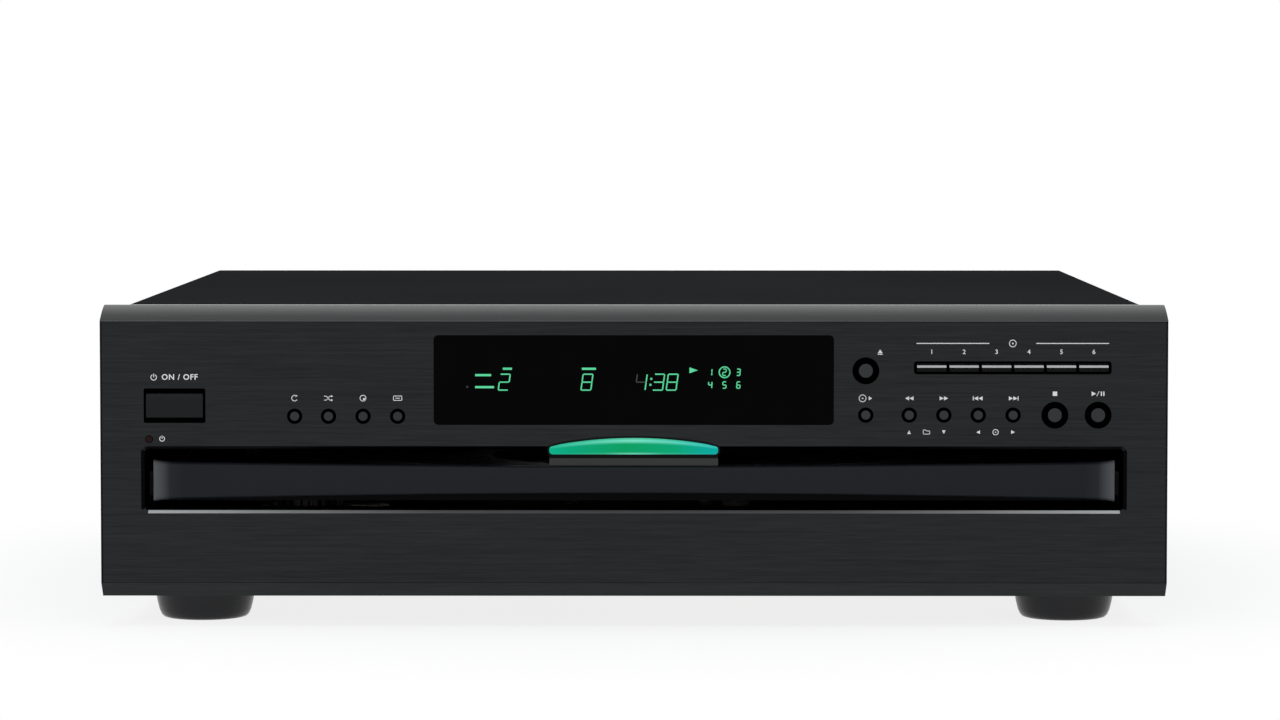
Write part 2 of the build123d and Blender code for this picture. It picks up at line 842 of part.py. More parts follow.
def drawer_gear():
    """The rack's gear over a wide step gear, on one hub."""
    upper = gear(rack_module, drive_teeth, (wheel_low + wheel_face, rack_low + 2.4), drive_x, drive_y, 180)
    lower = gear(wheel_module, wheel_teeth, (wheel_low, wheel_low + wheel_face), drive_x, drive_y, 0)
    hub = rod_along_z(6.0, (wheel_low - 1, wheel_low), drive_x, drive_y)
    bore = rod_along_z(axle_radius + running_fit, (wheel_low - 2, tray_floor), drive_x, drive_y)
    return upper + lower + hub - bore


def grooved_pulley(flange, groove, x):
    """Two rims with the belt's groove between them."""
    rim = 0.7
    body = rod_along_z(flange, (pulley_low, pulley_low + rim), x, drive_y)
    body += rod_along_z(groove, (pulley_low + rim, pulley_low + pulley_height - rim), x, drive_y)
    body += rod_along_z(flange, (pulley_low + pulley_height - rim, pulley_low + pulley_height), x, drive_y)
    return body


def pulley_gear():
    direction = 180 + 180 / step_teeth
    body = grooved_pulley(pulley_flange, pulley_groove, step_x)
    teeth_zs = (pulley_low + pulley_height, wheel_low + wheel_face)
    body += gear(wheel_module, step_teeth, teeth_zs, step_x, drive_y, direction)
    return body - rod_along_z(axle_radius + running_fit, (pulley_low - 1, wheel_low + 9), step_x, drive_y)


def motor_pulley():
    body = grooved_pulley(small_flange, small_groove, small_x)
    bore_zs = (pulley_low - 1, pulley_low + pulley_height + 1)
    return body - rod_along_z(spindle_radius + running_fit, bore_zs, small_x, drive_y)


def drive_belt():
    """Square belt round both pulleys."""
    big = pulley_groove + slip
    small = small_groove + slip
    tilt = math.asin((big - small) / belt_span)
    middle = pulley_low + pulley_height / 2
    zs = (middle - belt_height / 2, middle + belt_height / 2)
    outer = belt_loop(big + belt_sheet, small + belt_sheet, tilt, zs)
    return outer - belt_loop(big, small, tilt, (zs[0] - 1, zs[1] + 1))


def belt_loop(big, small, tilt, zs):
    """The filled shape inside a belt: two arcs joined by straight runs."""
    sine = math.sin(tilt)
    cosine = math.cos(tilt)
    high_big = (step_x + big * sine, drive_y + big * cosine)
    low_big = (step_x + big * sine, drive_y - big * cosine)
    high_small = (small_x + small * sine, drive_y + small * cosine)
    low_small = (small_x + small * sine, drive_y - small * cosine)
    loop = make_face(
        Curve()
        + [
            ThreePointArc(high_big, (step_x - big, drive_y), low_big),
            Line(low_big, low_small),
            ThreePointArc(low_small, (small_x + small, drive_y), high_small),
            Line(high_small, high_big),
        ]
    )
    return Pos(0, 0, zs[0]) * extrude(loop, zs[1] - zs[0])


def loading_motor():
    base = chassis_low + sheet + 3
    can = rod_along_z(motor_radius, (base, pulley_low - 2), small_x, drive_y)
    can = chamfer(can.edges().sort_by(Axis.Z)[0], 1.2)
    return can + rod_along_z(spindle_radius, (pulley_low - 2, pulley_low + pulley_height), small_x, drive_y)


def lowered(shape):
    """Turn a piece of the mechanism down about the hinge, from playing to resting."""
    hinge = Pos(0, hinge_y, hinge_z)
    return hinge * Rot(lift_angle, 0, 0) * hinge.inverse() * shape


def lift_frame():
    """Folded plate that carries the playing mechanism, hinged at the back."""
    low = deck_top - deck_sheet
    body = block((-deck_half, deck_half), (deck_front, hinge_y - 6), (low, deck_top))
    body += block((-deck_half, deck_half), (deck_front, deck_front + deck_sheet), (cam_pin_z - 4, low))
    for side in (-1, 1):
        xs = sorted((side * (deck_half - deck_sheet), side * deck_half))
        body += block(xs, (deck_front, hinge_y - 6), (hinge_z - 4, low))
        body += block(xs, (hinge_y - 6, hinge_y + 4), (hinge_z - 4, hinge_z + 4))
        pin = sorted((side * (deck_half - deck_sheet), side * (deck_half + slip + 3 + slip)))
        body += rod_along_x(axle_radius, pin, hinge_y, hinge_z)
        body += rod_along_y(cam_pin_radius, (cam_y - 0.5, deck_front), side * cam_pin_x, cam_pin_z)
        for y in (rod_front, rod_rear):
            xs = sorted((side * (rod_x - 3), side * (rod_x + 3)))
            body += block(xs, (y, y + 3), (rod_z - 3, low))
            body -= rod_along_y(rod_radius, (y - 1, y + 4), side * rod_x, rod_z)
    body -= block((-sled_opening, sled_opening), (rod_front + 3, rod_rear), (low - 1, deck_top + 1))
    body -= rod_along_z(6.0, (low - 1, deck_top + 1), 0, play_y)
    body += rod_along_z(axle_radius, (sled_low, low), sled_gear_x, sled_gear_y)
    return lowered(body)


rod_front = play_y + 11.6
rod_rear = play_y + sled_start + sled_travel + sled_rear + 4.0
sled_y = play_y + sled_start
sled_gear_radius = sled_gear_module * sled_gear_teeth / 2
sled_rack_line = sled_half + 1.8
sled_gear_x = sled_rack_line + sled_gear_radius


def guide_rods():
    rods = [rod_along_y(rod_radius, (rod_front, rod_rear + 3), side * rod_x, rod_z) for side in (-1, 1)]
    return [lowered(rod) for rod in rods]


def pickup_sled():
    """Block that slides on both rods, with the lens housing on top and a rack at one side."""
    body = block((-sled_half, sled_half), (sled_y - sled_front, sled_y + sled_rear), (sled_low, sled_top))
    body += block((-12, 12), (sled_y - 8, sled_y + 9), (sled_top, lens_top - 2.5))
    for side in (-1, 1):
        body -= rod_along_y(
            rod_radius + running_fit, (sled_y - sled_front - 1, sled_y + sled_rear + 1), side * rod_x, rod_z
        )
    pitch = sled_gear_module * math.pi
    teeth = 13
    y_gap = sled_gear_y + pitch
    body += rack(teeth, sled_gear_module, sled_rack_line, y_gap, 1, 2.0, (sled_low + 1, sled_low + 4))
    body -= rod_along_z(lens_radius + slip, (lens_top - 5, lens_top), 0, sled_y)
    return lowered(body)


def pickup_lens():
    low = lens_top - 5
    body = rod_along_z(lens_radius, (low, lens_top - 1), 0, sled_y)
    body += Pos(0, sled_y, lens_top - 1) * Cone(lens_radius - 0.8, lens_radius - 2, 1, align=UPWARD)
    return lowered(body)


UPWARD = (Align.CENTER, Align.CENTER, Align.MIN)


def sled_gear():
    zs = (sled_low + 1, sled_low + 4)
    body = gear(sled_gear_module, sled_gear_teeth, zs, sled_gear_x, sled_gear_y, 180)
    bore = rod_along_z(axle_radius + running_fit, (sled_low, sled_top), sled_gear_x, sled_gear_y)
    return lowered(body - bore)


def sled_motor():
    """Small can motor with a worm beside the sled's gear, held under the plate."""
    worm_radius = 2.5
    x = sled_gear_x + sled_gear_radius + sled_gear_module + 1 + worm_radius
    z = sled_low + 2.5
    low = deck_top - deck_sheet
    body = rod_along_y(3.6, (sled_gear_y + 9, sled_gear_y + 27), x, low - 3.6)
    body += rod_along_y(worm_radius, (sled_gear_y - 6, sled_gear_y + 9), x, z)
    return lowered(body)


def spindle_motor():
    """Motor under the plate, with a bearing neck and the shaft that drives the turntable."""
    low = deck_top - deck_sheet
    body = rod_along_z(spindle_motor_radius, (spindle_motor_low, low), 0, play_y)
    body += rod_along_z(3.0, (low, deck_top + 0.5), 0, play_y)
    body += rod_along_z(spindle_radius, (deck_top + 0.5, shoulder_z + 1), 0, play_y)
    return lowered(body)


def turntable():
    """Small table with a tapered centre that the disc sits on."""
    outline = make_face(
        Polyline(
            (spindle_radius + running_fit, deck_top + 0.5 + slip),
            (4.5, deck_top + 0.5 + slip),
            (4.5, shoulder_z - 2.5),
            (turntable_radius, shoulder_z - 2.5),
            (turntable_radius, shoulder_z),
            (spigot_radius, shoulder_z),
            (spigot_radius - 1.2, shoulder_z + spigot_height),
            (spindle_radius + running_fit, shoulder_z + spigot_height),
            close=True,
        )
    )
    return lowered(Pos(0, play_y, 0) * revolve(Plane.XZ * outline, Axis.Z))


def lift_cam():
    """Sliding plate with two sloping slots that raise the lift frame's pins."""
    foot_low = chassis_low + sheet + 4 + slip
    low = cam_pin_z - lift_drop - 7
    high = cam_pin_z + 4.5
    xs = (-cam_pin_x - cam_travel - 8, cam_pin_x + 8)
    body = block(xs, (cam_y, cam_y + cam_sheet), (foot_low, high))
    body += block(xs, (cam_y - 8, cam_y), (foot_low, foot_low + 2))
    for x in (-cam_pin_x, cam_pin_x):
        body -= slot_cut(x)
    return body


def slot_cut(x):
    """A slot sloping down to the pin's resting place, open from the pin's place as it plays."""
    play = cam_pin_radius + 0.45
    low = cam_pin_z - lift_drop
    rest = 2 * play
    high_x = x - cam_travel
    path = Polyline((x + rest, low), (x, low), (high_x, cam_pin_z), (high_x - rest, cam_pin_z))
    shape = trace(path, 2 * play)
    return raise_front(shape, cam_y - 1, cam_y + cam_sheet + 1)


lift_drop = (hinge_y - cam_y) * math.sin(math.radians(lift_angle)) + (cam_pin_z - hinge_z) * (
    math.cos(math.radians(lift_angle)) - 1
)


def clamp_bridge():
    """Beam over the carousel, standing on the rails, with posts for the main board."""
    low = bridge_low
    high = bridge_low + bridge_sheet
    ys = (play_y - bridge_width / 2, play_y + bridge_width / 2)
    half = rail_outer - 1
    body = block((-half, half), ys, (low, high))
    for y in (ys[0], ys[1] - 2):
        body += block((-half, half), (y, y + 2), (high, high + bridge_flange))
    for side in (-1, 1):
        xs = sorted((side * (half - 6), side * half))
        body += block(xs, ys, (rail_top, low))
    body -= rod_along_z(clamp_neck + 2, (low - 1, high + 1), 0, play_y)
    for x in (cover_half - 150.35, cover_half - 20.35):
        body += rod_along_z(3.0, (high, main_board_z), x, play_y + 8)
    return body


def clamper():
    """Spool that hangs in the bridge and presses the disc on the turntable."""
    high = bridge_low + bridge_sheet
    body = rod_along_z(clamp_radius, (clamp_low, clamp_low + 3), 0, play_y)
    body += rod_along_z(clamp_neck, (clamp_low + 3, high + slip), 0, play_y)
    body += rod_along_z(clamp_radius, (high + slip, high + 2.5), 0, play_y)
    return body - rod_along_z(spigot_radius + 1, (clamp_low - 1, clamp_low + 2.5), 0, play_y)


def main_board():
    """Board behind the clamp, over the carousel, with a few tall parts."""
    top = main_board_z + board_sheet
    right = cover_half - 7.35
    body = block((right - 163, right), (play_y, rear_y - sheet - 0.5), (main_board_z, top))
    body += block((right - 113, right - 81), (play_y + 24, play_y + 56), (top, top + 3))
    body += block((right - 63, right - 43), (play_y + 34, play_y + 54), (top, top + 3))
    for inset in (143, 129, 31, 17):
        body += rod_along_z(5.0, (top, top + 14), right - inset, play_y + 44)
    return body


def transformer():
    """Low mains transformer: a steel core round a taller winding."""
    floor_top = chassis_low + sheet
    core = block((-27, 27), (-24, 24), (floor_top, floor_top + 26))
    coil = block((-15, 15), (-32, 32), (floor_top + 4, floor_top + 30))
    tabs = block((-37, 37), (-8, 8), (floor_top, floor_top + 1.5))
    return Pos(transformer_x, transformer_y, 0) * (core + coil + tabs)


def rear_jacks():
    """Two sound sockets, one light-pipe socket and two small remote sockets."""
    pieces = []
    top = main_board_z + board_sheet
    for x in jack_xs:
        body = block((x - 6, x + 6), (rear_y - 14, rear_y - sheet), (top, jack_z + 6))
        body += rod_along_y(jack_radius, (rear_y - sheet, back_y), x, jack_z)
        pieces.append(body - rod_along_y(1.6, (rear_y - 6, back_y + 1), x, jack_z))
    low = block((optical_x - 7, optical_x + 7), (rear_y - 14, rear_y - sheet), (top, jack_z + 7))
    optical_xs = (optical_x - 4.5, optical_x + 4.5)
    low += block(optical_xs, (rear_y - sheet, rear_y + 2), (jack_z - 4.5, jack_z + 4.5))
    pieces.append(low)
    for x in remote_xs:
        body = block((x - 5, x + 5), (rear_y - 14, rear_y - sheet), (top, jack_z + 5))
        body += rod_along_y(3.7, (rear_y - sheet, rear_y + 1), x, jack_z)
        pieces.append(body - rod_along_y(remote_bore, (rear_y - 12, rear_y + 2), x, jack_z))
    return pieces


def mains_gland():
    """Flanged bush where the mains lead leaves the back."""
    body = rod_along_y(gland_radius, (rear_y - 8, rear_y + 3), gland_x, gland_z)
    body += rod_along_y(gland_radius + 1.5, (rear_y, rear_y + 3), gland_x, gland_z)
    return body - rod_along_y(gland_bore, (rear_y - 9, rear_y + 4), gland_x, gland_z)


single_pieces = (
    front_panel,
    front_subframe,
    display_window,
    display_tube,
    control_board,
    standby_lamp,
    lamp_lens,
    lamp_holder,
    base_chassis,
    rear_panel,
    top_cover,
    drawer_tray,
    drawer_front,
    carousel,
    carousel_ring,
    carousel_cap,
    carousel_pinion,
    carousel_motor,
    drawer_gear,
    pulley_gear,
    motor_pulley,
    drive_belt,
    loading_motor,
    lift_frame,
    pickup_sled,
    pickup_lens,
    sled_gear,
    sled_motor,
    spindle_motor,
    turntable,
    lift_cam,
    clamp_bridge,
    clamper,
    main_board,
    transformer,
    mains_gland,
)
for piece in single_pieces:
    save(piece.__name__, piece())
for group in (feet, cover_screws, slide_rails, guide_rods, rear_jacks):
    save(group.__name__, *group())
for name, x in left_xs.items():
    save(name + "_button", round_button(x, left_row, small_radius))
for name, x in right_xs.items():
    save(name + "_button", round_button(x, right_row, small_radius))
for name, x in large_xs.items():
    save(name + "_button", round_button(x, right_row, large_radius))
save("eject_button", round_button(right_xs["disc_skip"], eject_z, large_radius))
save("power_button", power_key())
for number, x in enumerate(select_xs, 1):
    save(f"disc_select_{number}", select_key(x))
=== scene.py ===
import bmesh
import bpy
import math
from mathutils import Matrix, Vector

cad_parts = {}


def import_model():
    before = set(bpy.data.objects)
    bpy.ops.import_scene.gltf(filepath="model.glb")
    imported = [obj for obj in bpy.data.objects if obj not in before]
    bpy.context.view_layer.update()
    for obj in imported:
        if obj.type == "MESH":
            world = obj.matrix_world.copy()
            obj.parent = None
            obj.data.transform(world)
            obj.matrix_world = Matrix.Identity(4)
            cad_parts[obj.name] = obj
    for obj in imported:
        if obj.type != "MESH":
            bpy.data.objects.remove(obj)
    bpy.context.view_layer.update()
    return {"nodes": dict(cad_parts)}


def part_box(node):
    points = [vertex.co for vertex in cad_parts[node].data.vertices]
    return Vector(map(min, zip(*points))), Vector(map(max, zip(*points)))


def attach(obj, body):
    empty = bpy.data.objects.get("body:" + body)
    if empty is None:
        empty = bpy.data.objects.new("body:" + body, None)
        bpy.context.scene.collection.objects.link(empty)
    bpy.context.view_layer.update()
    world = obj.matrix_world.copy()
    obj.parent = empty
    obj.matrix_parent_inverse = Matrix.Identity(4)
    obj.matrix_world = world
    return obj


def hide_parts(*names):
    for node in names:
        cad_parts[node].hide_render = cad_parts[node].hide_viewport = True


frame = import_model()
nodes = frame["nodes"]
scene = bpy.context.scene

# Camera, fitted to the photograph's frame
FRAME_W = 1280
FOCAL_PX = 4620.0
CAMERA_AT = (0.0119, -2.0915, 0.2143)
CAMERA_PITCH = math.radians(3.2)
CAMERA_YAW = math.radians(0.285)

# Places taken from the frame
PANEL_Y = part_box("front_panel")[0].y
WINDOW_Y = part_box("display_window")[0].y
lens_low, lens_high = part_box("lamp_lens")
MARK_LIFT = 0.00004
LENS_END_TOP = 0.0741


def camera():
    data = bpy.data.cameras.new("camera")
    data.sensor_width = 36.0
    data.lens = FOCAL_PX / FRAME_W * data.sensor_width
    data.clip_start = 0.05
    obj = bpy.data.objects.new("camera", data)
    obj.location = CAMERA_AT
    obj.rotation_euler = (math.radians(90) - CAMERA_PITCH, 0, CAMERA_YAW)
    scene.collection.objects.link(obj)
    scene.camera = obj


def soft_box(name, at, target, size, power):
    """A white studio lamp that gloss doesn't show."""
    data = bpy.data.lights.new(name, "AREA")
    data.shape = "RECTANGLE"
    data.size, data.size_y = size
    data.energy = power
    obj = bpy.data.objects.new(name, data)
    obj.location = at
    obj.rotation_euler = (Vector(target) - Vector(at)).to_track_quat("-Z", "Y").to_euler()
    obj.visible_glossy = False
    scene.collection.objects.link(obj)


class Nodes:
    """A small helper that adds shader nodes and links them."""

    def __init__(self, tree):
        self.tree = tree
        tree.nodes.clear()

    def add(self, kind, inputs=None, **settings):
        node = self.tree.nodes.new(kind)
        for key, value in settings.items():
            setattr(node, key, value)
        for key, value in (inputs or {}).items():
            self.put(node, key, value)
        return node

    def put(self, node, key, value):
        socket = node.inputs[key]
        if isinstance(value, bpy.types.NodeSocket):
            self.tree.links.new(value, socket)
        else:
            socket.default_value = value

    def coords(self, scale=(1, 1, 1)):
        """Object coordinates, stretched by scale."""
        place = self.add("ShaderNodeTexCoord")
        return self.add(
            "ShaderNodeMapping", {"Vector": place.outputs["Object"], "Scale": scale}
        ).outputs["Vector"]

    def noise(self, vector, scale, detail=3.0, rough=0.5):
        node = self.add(
            "ShaderNodeTexNoise",
            {"Vector": vector, "Scale": scale, "Detail": detail, "Roughness": rough},
        )
        return node.outputs["Fac"]

    def span(self, value, low, high):
        """A 0 to 1 value spread between two numbers."""
        node = self.add("ShaderNodeMapRange", {"Value": value, "To Min": low, "To Max": high})
        return node.outputs["Result"]

    def ramp(self, value, stops):
        node = self.add("ShaderNodeValToRGB", {"Fac": value})
        ramp = node.color_ramp
        while len(ramp.elements) < len(stops):
            ramp.elements.new(0.5)
        for element, (at, colour) in zip(ramp.elements, stops):
            element.position = at
            element.color = (*colour, 1)
        return node.outputs["Color"]

    def bump(self, height, strength, distance):
        node = self.add(
            "ShaderNodeBump", {"Height": height, "Strength": strength, "Distance": distance}
        )
        return node.outputs["Normal"]

    def calc(self, operation, *values):
        """One piece of arithmetic on one or two values."""
        node = self.add("ShaderNodeMath", dict(enumerate(values)), operation=operation)
        return node.outputs["Value"]

    def mix(self, factor, first, second, blend="MIX"):
        """Two colours mixed by a factor; they are inputs 6 and 7 of the node and its output 2."""
        node = self.add("ShaderNodeMix", {"Factor": factor}, data_type="RGBA", blend_type=blend)
        self.put(node, 6, first)
        self.put(node, 7, second)
        return node.outputs[2]

    def finish(self, surface):
        self.add("ShaderNodeOutputMaterial", {"Surface": surface})

    def skin(self, inputs):
        """End the material in a principled surface."""
        surface = self.add("ShaderNodeBsdfPrincipled", inputs)
        self.finish(surface.outputs["BSDF"])


def new_material(name):
    mat = bpy.data.materials.new(name)
    mat.use_nodes = True
    return mat, Nodes(mat.node_tree)


def shade(colour, change):
    return tuple(min(1.0, max(0.0, c * change)) for c in colour)


def moulded(name, colour, rough=0.45, grain=900.0, depth=0.00002, specular=0.4, spread=0.12):
    """Moulded plastic: fine sparkle grain, slightly uneven colour and gloss."""
    mat, n = new_material(name)
    where = n.coords()
    broad = n.noise(where, 14.0, 2.0)
    fine = n.noise(where, grain, 2.0)
    tone = n.ramp(broad, [(0.3, shade(colour, 1 - spread)), (0.7, shade(colour, 1 + spread))])
    gloss = n.span(fine, rough - 0.06, rough + 0.08)
    n.skin(
        {
            "Base Color": tone,
            "Roughness": gloss,
            "Specular IOR Level": specular,
            "Normal": n.bump(fine, 0.35, depth),
        }
    )
    return mat


def metal(name, colour, rough=0.3, stretch=(1, 1, 1), scale=600.0, depth=0.000015, spread=0.1):
    """Bare metal whose fine lines run where stretch is small."""
    mat, n = new_material(name)
    lines = n.noise(n.coords(stretch), scale, 3.0, 0.6)
    cloud = n.noise(n.coords(), 9.0, 2.0)
    tone = n.ramp(cloud, [(0.3, shade(colour, 1 - spread)), (0.7, shade(colour, 1 + spread))])
    n.skin(
        {
            "Base Color": tone,
            "Metallic": 1.0,
            "Roughness": n.span(lines, rough - 0.08, rough + 0.1),
            "Normal": n.bump(lines, 0.4, depth),
        }
    )
    return mat


def painted(name, colour, rough=0.6, grain=1400.0, depth=0.00005, specular=0.25):
    """Sheet metal under fine textured paint."""
    mat, n = new_material(name)
    where = n.coords()
    fine = n.noise(where, grain, 3.0, 0.65)
    broad = n.noise(where, 6.0, 2.0)
    tone = n.ramp(broad, [(0.3, shade(colour, 0.92)), (0.7, shade(colour, 1.08))])
    n.skin(
        {
            "Base Color": tone,
            "Roughness": n.span(fine, rough - 0.05, rough + 0.1),
            "Specular IOR Level": specular,
            "Normal": n.bump(fine, 0.5, depth),
        }
    )
    return mat


def glowing(name, colour):
    """A lit mark as bright as its colour, with a slightly uneven glow."""
    mat, n = new_material(name)
    patch = n.noise(n.coords(), 400.0, 1.0)
    tone = n.ramp(patch, [(0.3, shade(colour, 0.85)), (0.7, colour)])
    light = n.add("ShaderNodeEmission", {"Color": tone, "Strength": 1.0})
    n.finish(light.outputs["Emission"])
    return mat


# Surfaces of the object
def brushed_front():
    """Black anodised aluminium, brushed along its length, with painted shade on faces that look up or
    sideways.
    """
    mat, n = new_material("brushed_front")
    streaks = n.noise(n.coords((9, 60, 900)), 1.6, 4.0, 0.65)
    fine = n.noise(n.coords((60, 120, 1900)), 1.0, 3.0, 0.6)
    cloud = n.noise(n.coords((1, 1, 3)), 7.0, 2.0)
    both = n.add(
        "ShaderNodeMix",
        {"Factor": 0.5, "A": streaks, "B": fine},
        data_type="FLOAT",
    ).outputs["Result"]
    tone = n.ramp(both, [(0.36, (0.0172, 0.0192, 0.0197)), (0.64, (0.0265, 0.029, 0.03))])
    veil = n.ramp(cloud, [(0.3, (0.94, 0.94, 0.94)), (0.7, (1.0, 1.0, 1.0))])
    mixed = n.mix(1.0, tone, veil, "MULTIPLY")
    # Painted shade: faces that look up or sideways are darkened to a tenth of the colour.
    normal = n.add("ShaderNodeTexCoord").outputs["Normal"]
    facing = n.add("ShaderNodeSeparateXYZ", {"Vector": normal})
    sideways = n.calc("ABSOLUTE", facing.outputs["X"])
    painted_shade_mask = n.calc("MAXIMUM", facing.outputs["Z"], n.calc("MULTIPLY", sideways, 1.6))
    ledge = n.ramp(painted_shade_mask, [(0.95, (1, 1, 1)), (0.985, (0.1, 0.1, 0.1))])
    n.skin(
        {
            "Base Color": n.mix(1.0, mixed, ledge, "MULTIPLY"),
            "Metallic": 1.0,
            "Roughness": n.span(both, 0.14, 0.26),
            "Normal": n.bump(both, 0.25, 0.00001),
        }
    )
    return mat


def dark_window():
    """Clear black acrylic."""
    mat, n = new_material("dark_window")
    haze = n.noise(n.coords(), 60.0, 2.0)
    n.skin(
        {
            "Base Color": n.ramp(haze, [(0.3, (0.0006, 0.0006, 0.0007)), (0.7, (0.001, 0.001, 0.0012))]),
            "Roughness": n.span(haze, 0.04, 0.08),
            "Specular IOR Level": 0.02,
        }
    )
    return mat


def lit_lens():
    """Green lens lit from behind, bluer toward its right end, with a painted highlight along its arch and
    the middle of its foot.
    """
    mat, n = new_material("lit_lens")
    place = n.add("ShaderNodeTexCoord").outputs["Object"]
    split = n.add("ShaderNodeSeparateXYZ", {"Vector": place})
    along = n.add(
        "ShaderNodeMapRange",
        {"Value": split.outputs["X"], "From Min": lens_low.x, "From Max": lens_high.x},
    ).outputs["Result"]
    body = n.ramp(
        along,
        [
            (0.0, (0.001, 0.42, 0.24)),
            (0.12, (0.001, 0.36, 0.19)),
            (0.45, (0.001, 0.33, 0.115)),
            (0.75, (0.001, 0.36, 0.17)),
            (0.9, (0.001, 0.37, 0.29)),
            (1.0, (0.001, 0.38, 0.36)),
        ],
    )
    # Painted highlight: this pale colour is mixed in under the arch and at the middle of the foot below.
    lens_painted_highlight = n.ramp(along, [(0.0, (0.02, 0.5, 0.32)), (0.5, (0.22, 0.82, 0.64)), (1.0, (0.03, 0.55, 0.47))])
    middle = n.calc("SUBTRACT", along, 0.5)
    square = n.calc("MULTIPLY", middle, middle)
    drop = n.add(
        "ShaderNodeMapRange",
        {"Value": square, "From Max": 0.25, "To Min": lens_high.z, "To Max": LENS_END_TOP},
    ).outputs["Result"]
    height = n.add(
        "ShaderNodeMapRange", {"Value": split.outputs["Z"], "From Min": lens_low.z, "From Max": drop}
    ).outputs["Result"]
    upper = n.ramp(height, [(0.64, (0, 0, 0)), (0.84, (0.9, 0.9, 0.9)), (0.97, (0.35, 0.35, 0.35))])
    foot = n.ramp(height, [(0.02, (0.8, 0.8, 0.8)), (0.14, (0, 0, 0))])
    near = n.ramp(square, [(0.0, (1, 1, 1)), (0.03, (0.35, 0.35, 0.35))])
    share = n.calc("MAXIMUM", upper, n.calc("MULTIPLY", foot, near))
    patch = n.noise(n.coords((1, 1, 4)), 60.0, 2.0)
    n.skin(
        {
            "Base Color": (0.001, 0.02, 0.01, 1),
            "Roughness": n.span(patch, 0.1, 0.16),
            "Specular IOR Level": 0.04,
            "Emission Color": n.mix(share, body, lens_painted_highlight),
            "Emission Strength": 1.0,
        }
    )
    return mat


def end_worn(name, stops, start, reach, rough, specular):
    """Satin face whose colour changes with its distance along x from the middle, used to paint a highlight
    toward the ends.
    """
    mat, n = new_material(name)
    across = n.add(
        "ShaderNodeSeparateXYZ", {"Vector": n.add("ShaderNodeTexCoord").outputs["Object"]}
    ).outputs["X"]
    share = n.add(
        "ShaderNodeMapRange",
        {"Value": n.calc("ABSOLUTE", across), "From Min": start, "From Max": reach},
    ).outputs["Result"]
    fine = n.noise(n.coords(), 1500.0, 2.0)
    n.skin(
        {
            "Base Color": n.ramp(share, stops),
            "Roughness": n.span(fine, rough - 0.06, rough + 0.08),
            "Specular IOR Level": specular,
            "Normal": n.bump(fine, 0.35, 0.000004),
        }
    )
    return mat


def two_part(name, axis, low, high, base, other):
    """One colour with faint winding lines between two places on an axis, another beyond them."""
    mat, n = new_material(name)
    place = n.add("ShaderNodeTexCoord").outputs["Object"]
    split = n.add("ShaderNodeSeparateXYZ", {"Vector": place})
    lines = n.add(
        "ShaderNodeTexWave",
        {"Vector": place, "Scale": 120.0, "Distortion": 14.0, "Detail": 2.0, "Detail Scale": 0.4},
    ).outputs["Fac"]
    light = shade(base, 1.6)
    sheet = n.ramp(lines, [(0.55, base), (0.62, light), (0.75, light), (0.82, base)])
    above = n.calc("GREATER_THAN", split.outputs[axis], high)
    below = n.calc("LESS_THAN", split.outputs[axis], low)
    patch = n.noise(place, 40.0, 1.0)
    parts = n.ramp(patch, [(0.4, other), (0.6, shade(other, 1.7))])
    tone = n.mix(n.calc("MAXIMUM", above, below), sheet, parts)
    n.skin({"Base Color": tone, "Roughness": n.span(patch, 0.3, 0.45), "Specular IOR Level": 0.4})
    return mat


BLACK = (0.012, 0.0125, 0.013)
ZINC = (0.55, 0.55, 0.52)
ACETAL = (0.72, 0.70, 0.64)
BOARD = (0.20, 0.11, 0.035)

lens_green = lit_lens()
# Painted highlight on the slot's lower lip, brightest at its ends.
lip_painted_highlight = end_worn(
    "lip_painted_highlight",
    [(0.0, (0.07, 0.072, 0.074)), (0.5, (0.16, 0.163, 0.165)), (1.0, (0.42, 0.43, 0.43))],
    0.08,
    0.199,
    0.5,
    0.5,
)
# Painted highlight for the strip under the top bevel.
bevel_painted_highlight = moulded("bevel_painted_highlight", (0.1, 0.104, 0.106), 0.4, 900.0, 0.000003, 0.25)
# Drawer bar's own dark satin colour along its middle, with a painted highlight toward its ends.
drawer_satin_and_end_highlight = end_worn(
    "drawer_satin_and_end_highlight",
    [(0.0, (0.011, 0.0125, 0.0155)), (0.45, (0.018, 0.02, 0.023)), (1.0, (0.125, 0.13, 0.135))],
    0.184,
    0.1965,
    0.3,
    0.1,
)
foot_gloss = moulded("foot_gloss", (0.009, 0.0095, 0.012), 0.26, 300.0, 0.000002, 0.3)
cap_metal = metal("button_cap", (0.034, 0.037, 0.038), 0.1, (1, 1, 1), 300.0, 0.000002)
# Black of the select keys' faces, also used for the painted shade and shadow strips and rings.
key_black_and_shade = moulded("key_black_and_shade", (0.003, 0.003, 0.0035), 0.4, 900.0, 0.000003, 0.08)
# Light metal given to the select keys' upward ledge faces as a painted highlight.
key_ledge_highlight = metal("key_ledge_highlight", (0.5, 0.51, 0.52), 0.3, (1, 8, 8), 200.0, 0.000003)
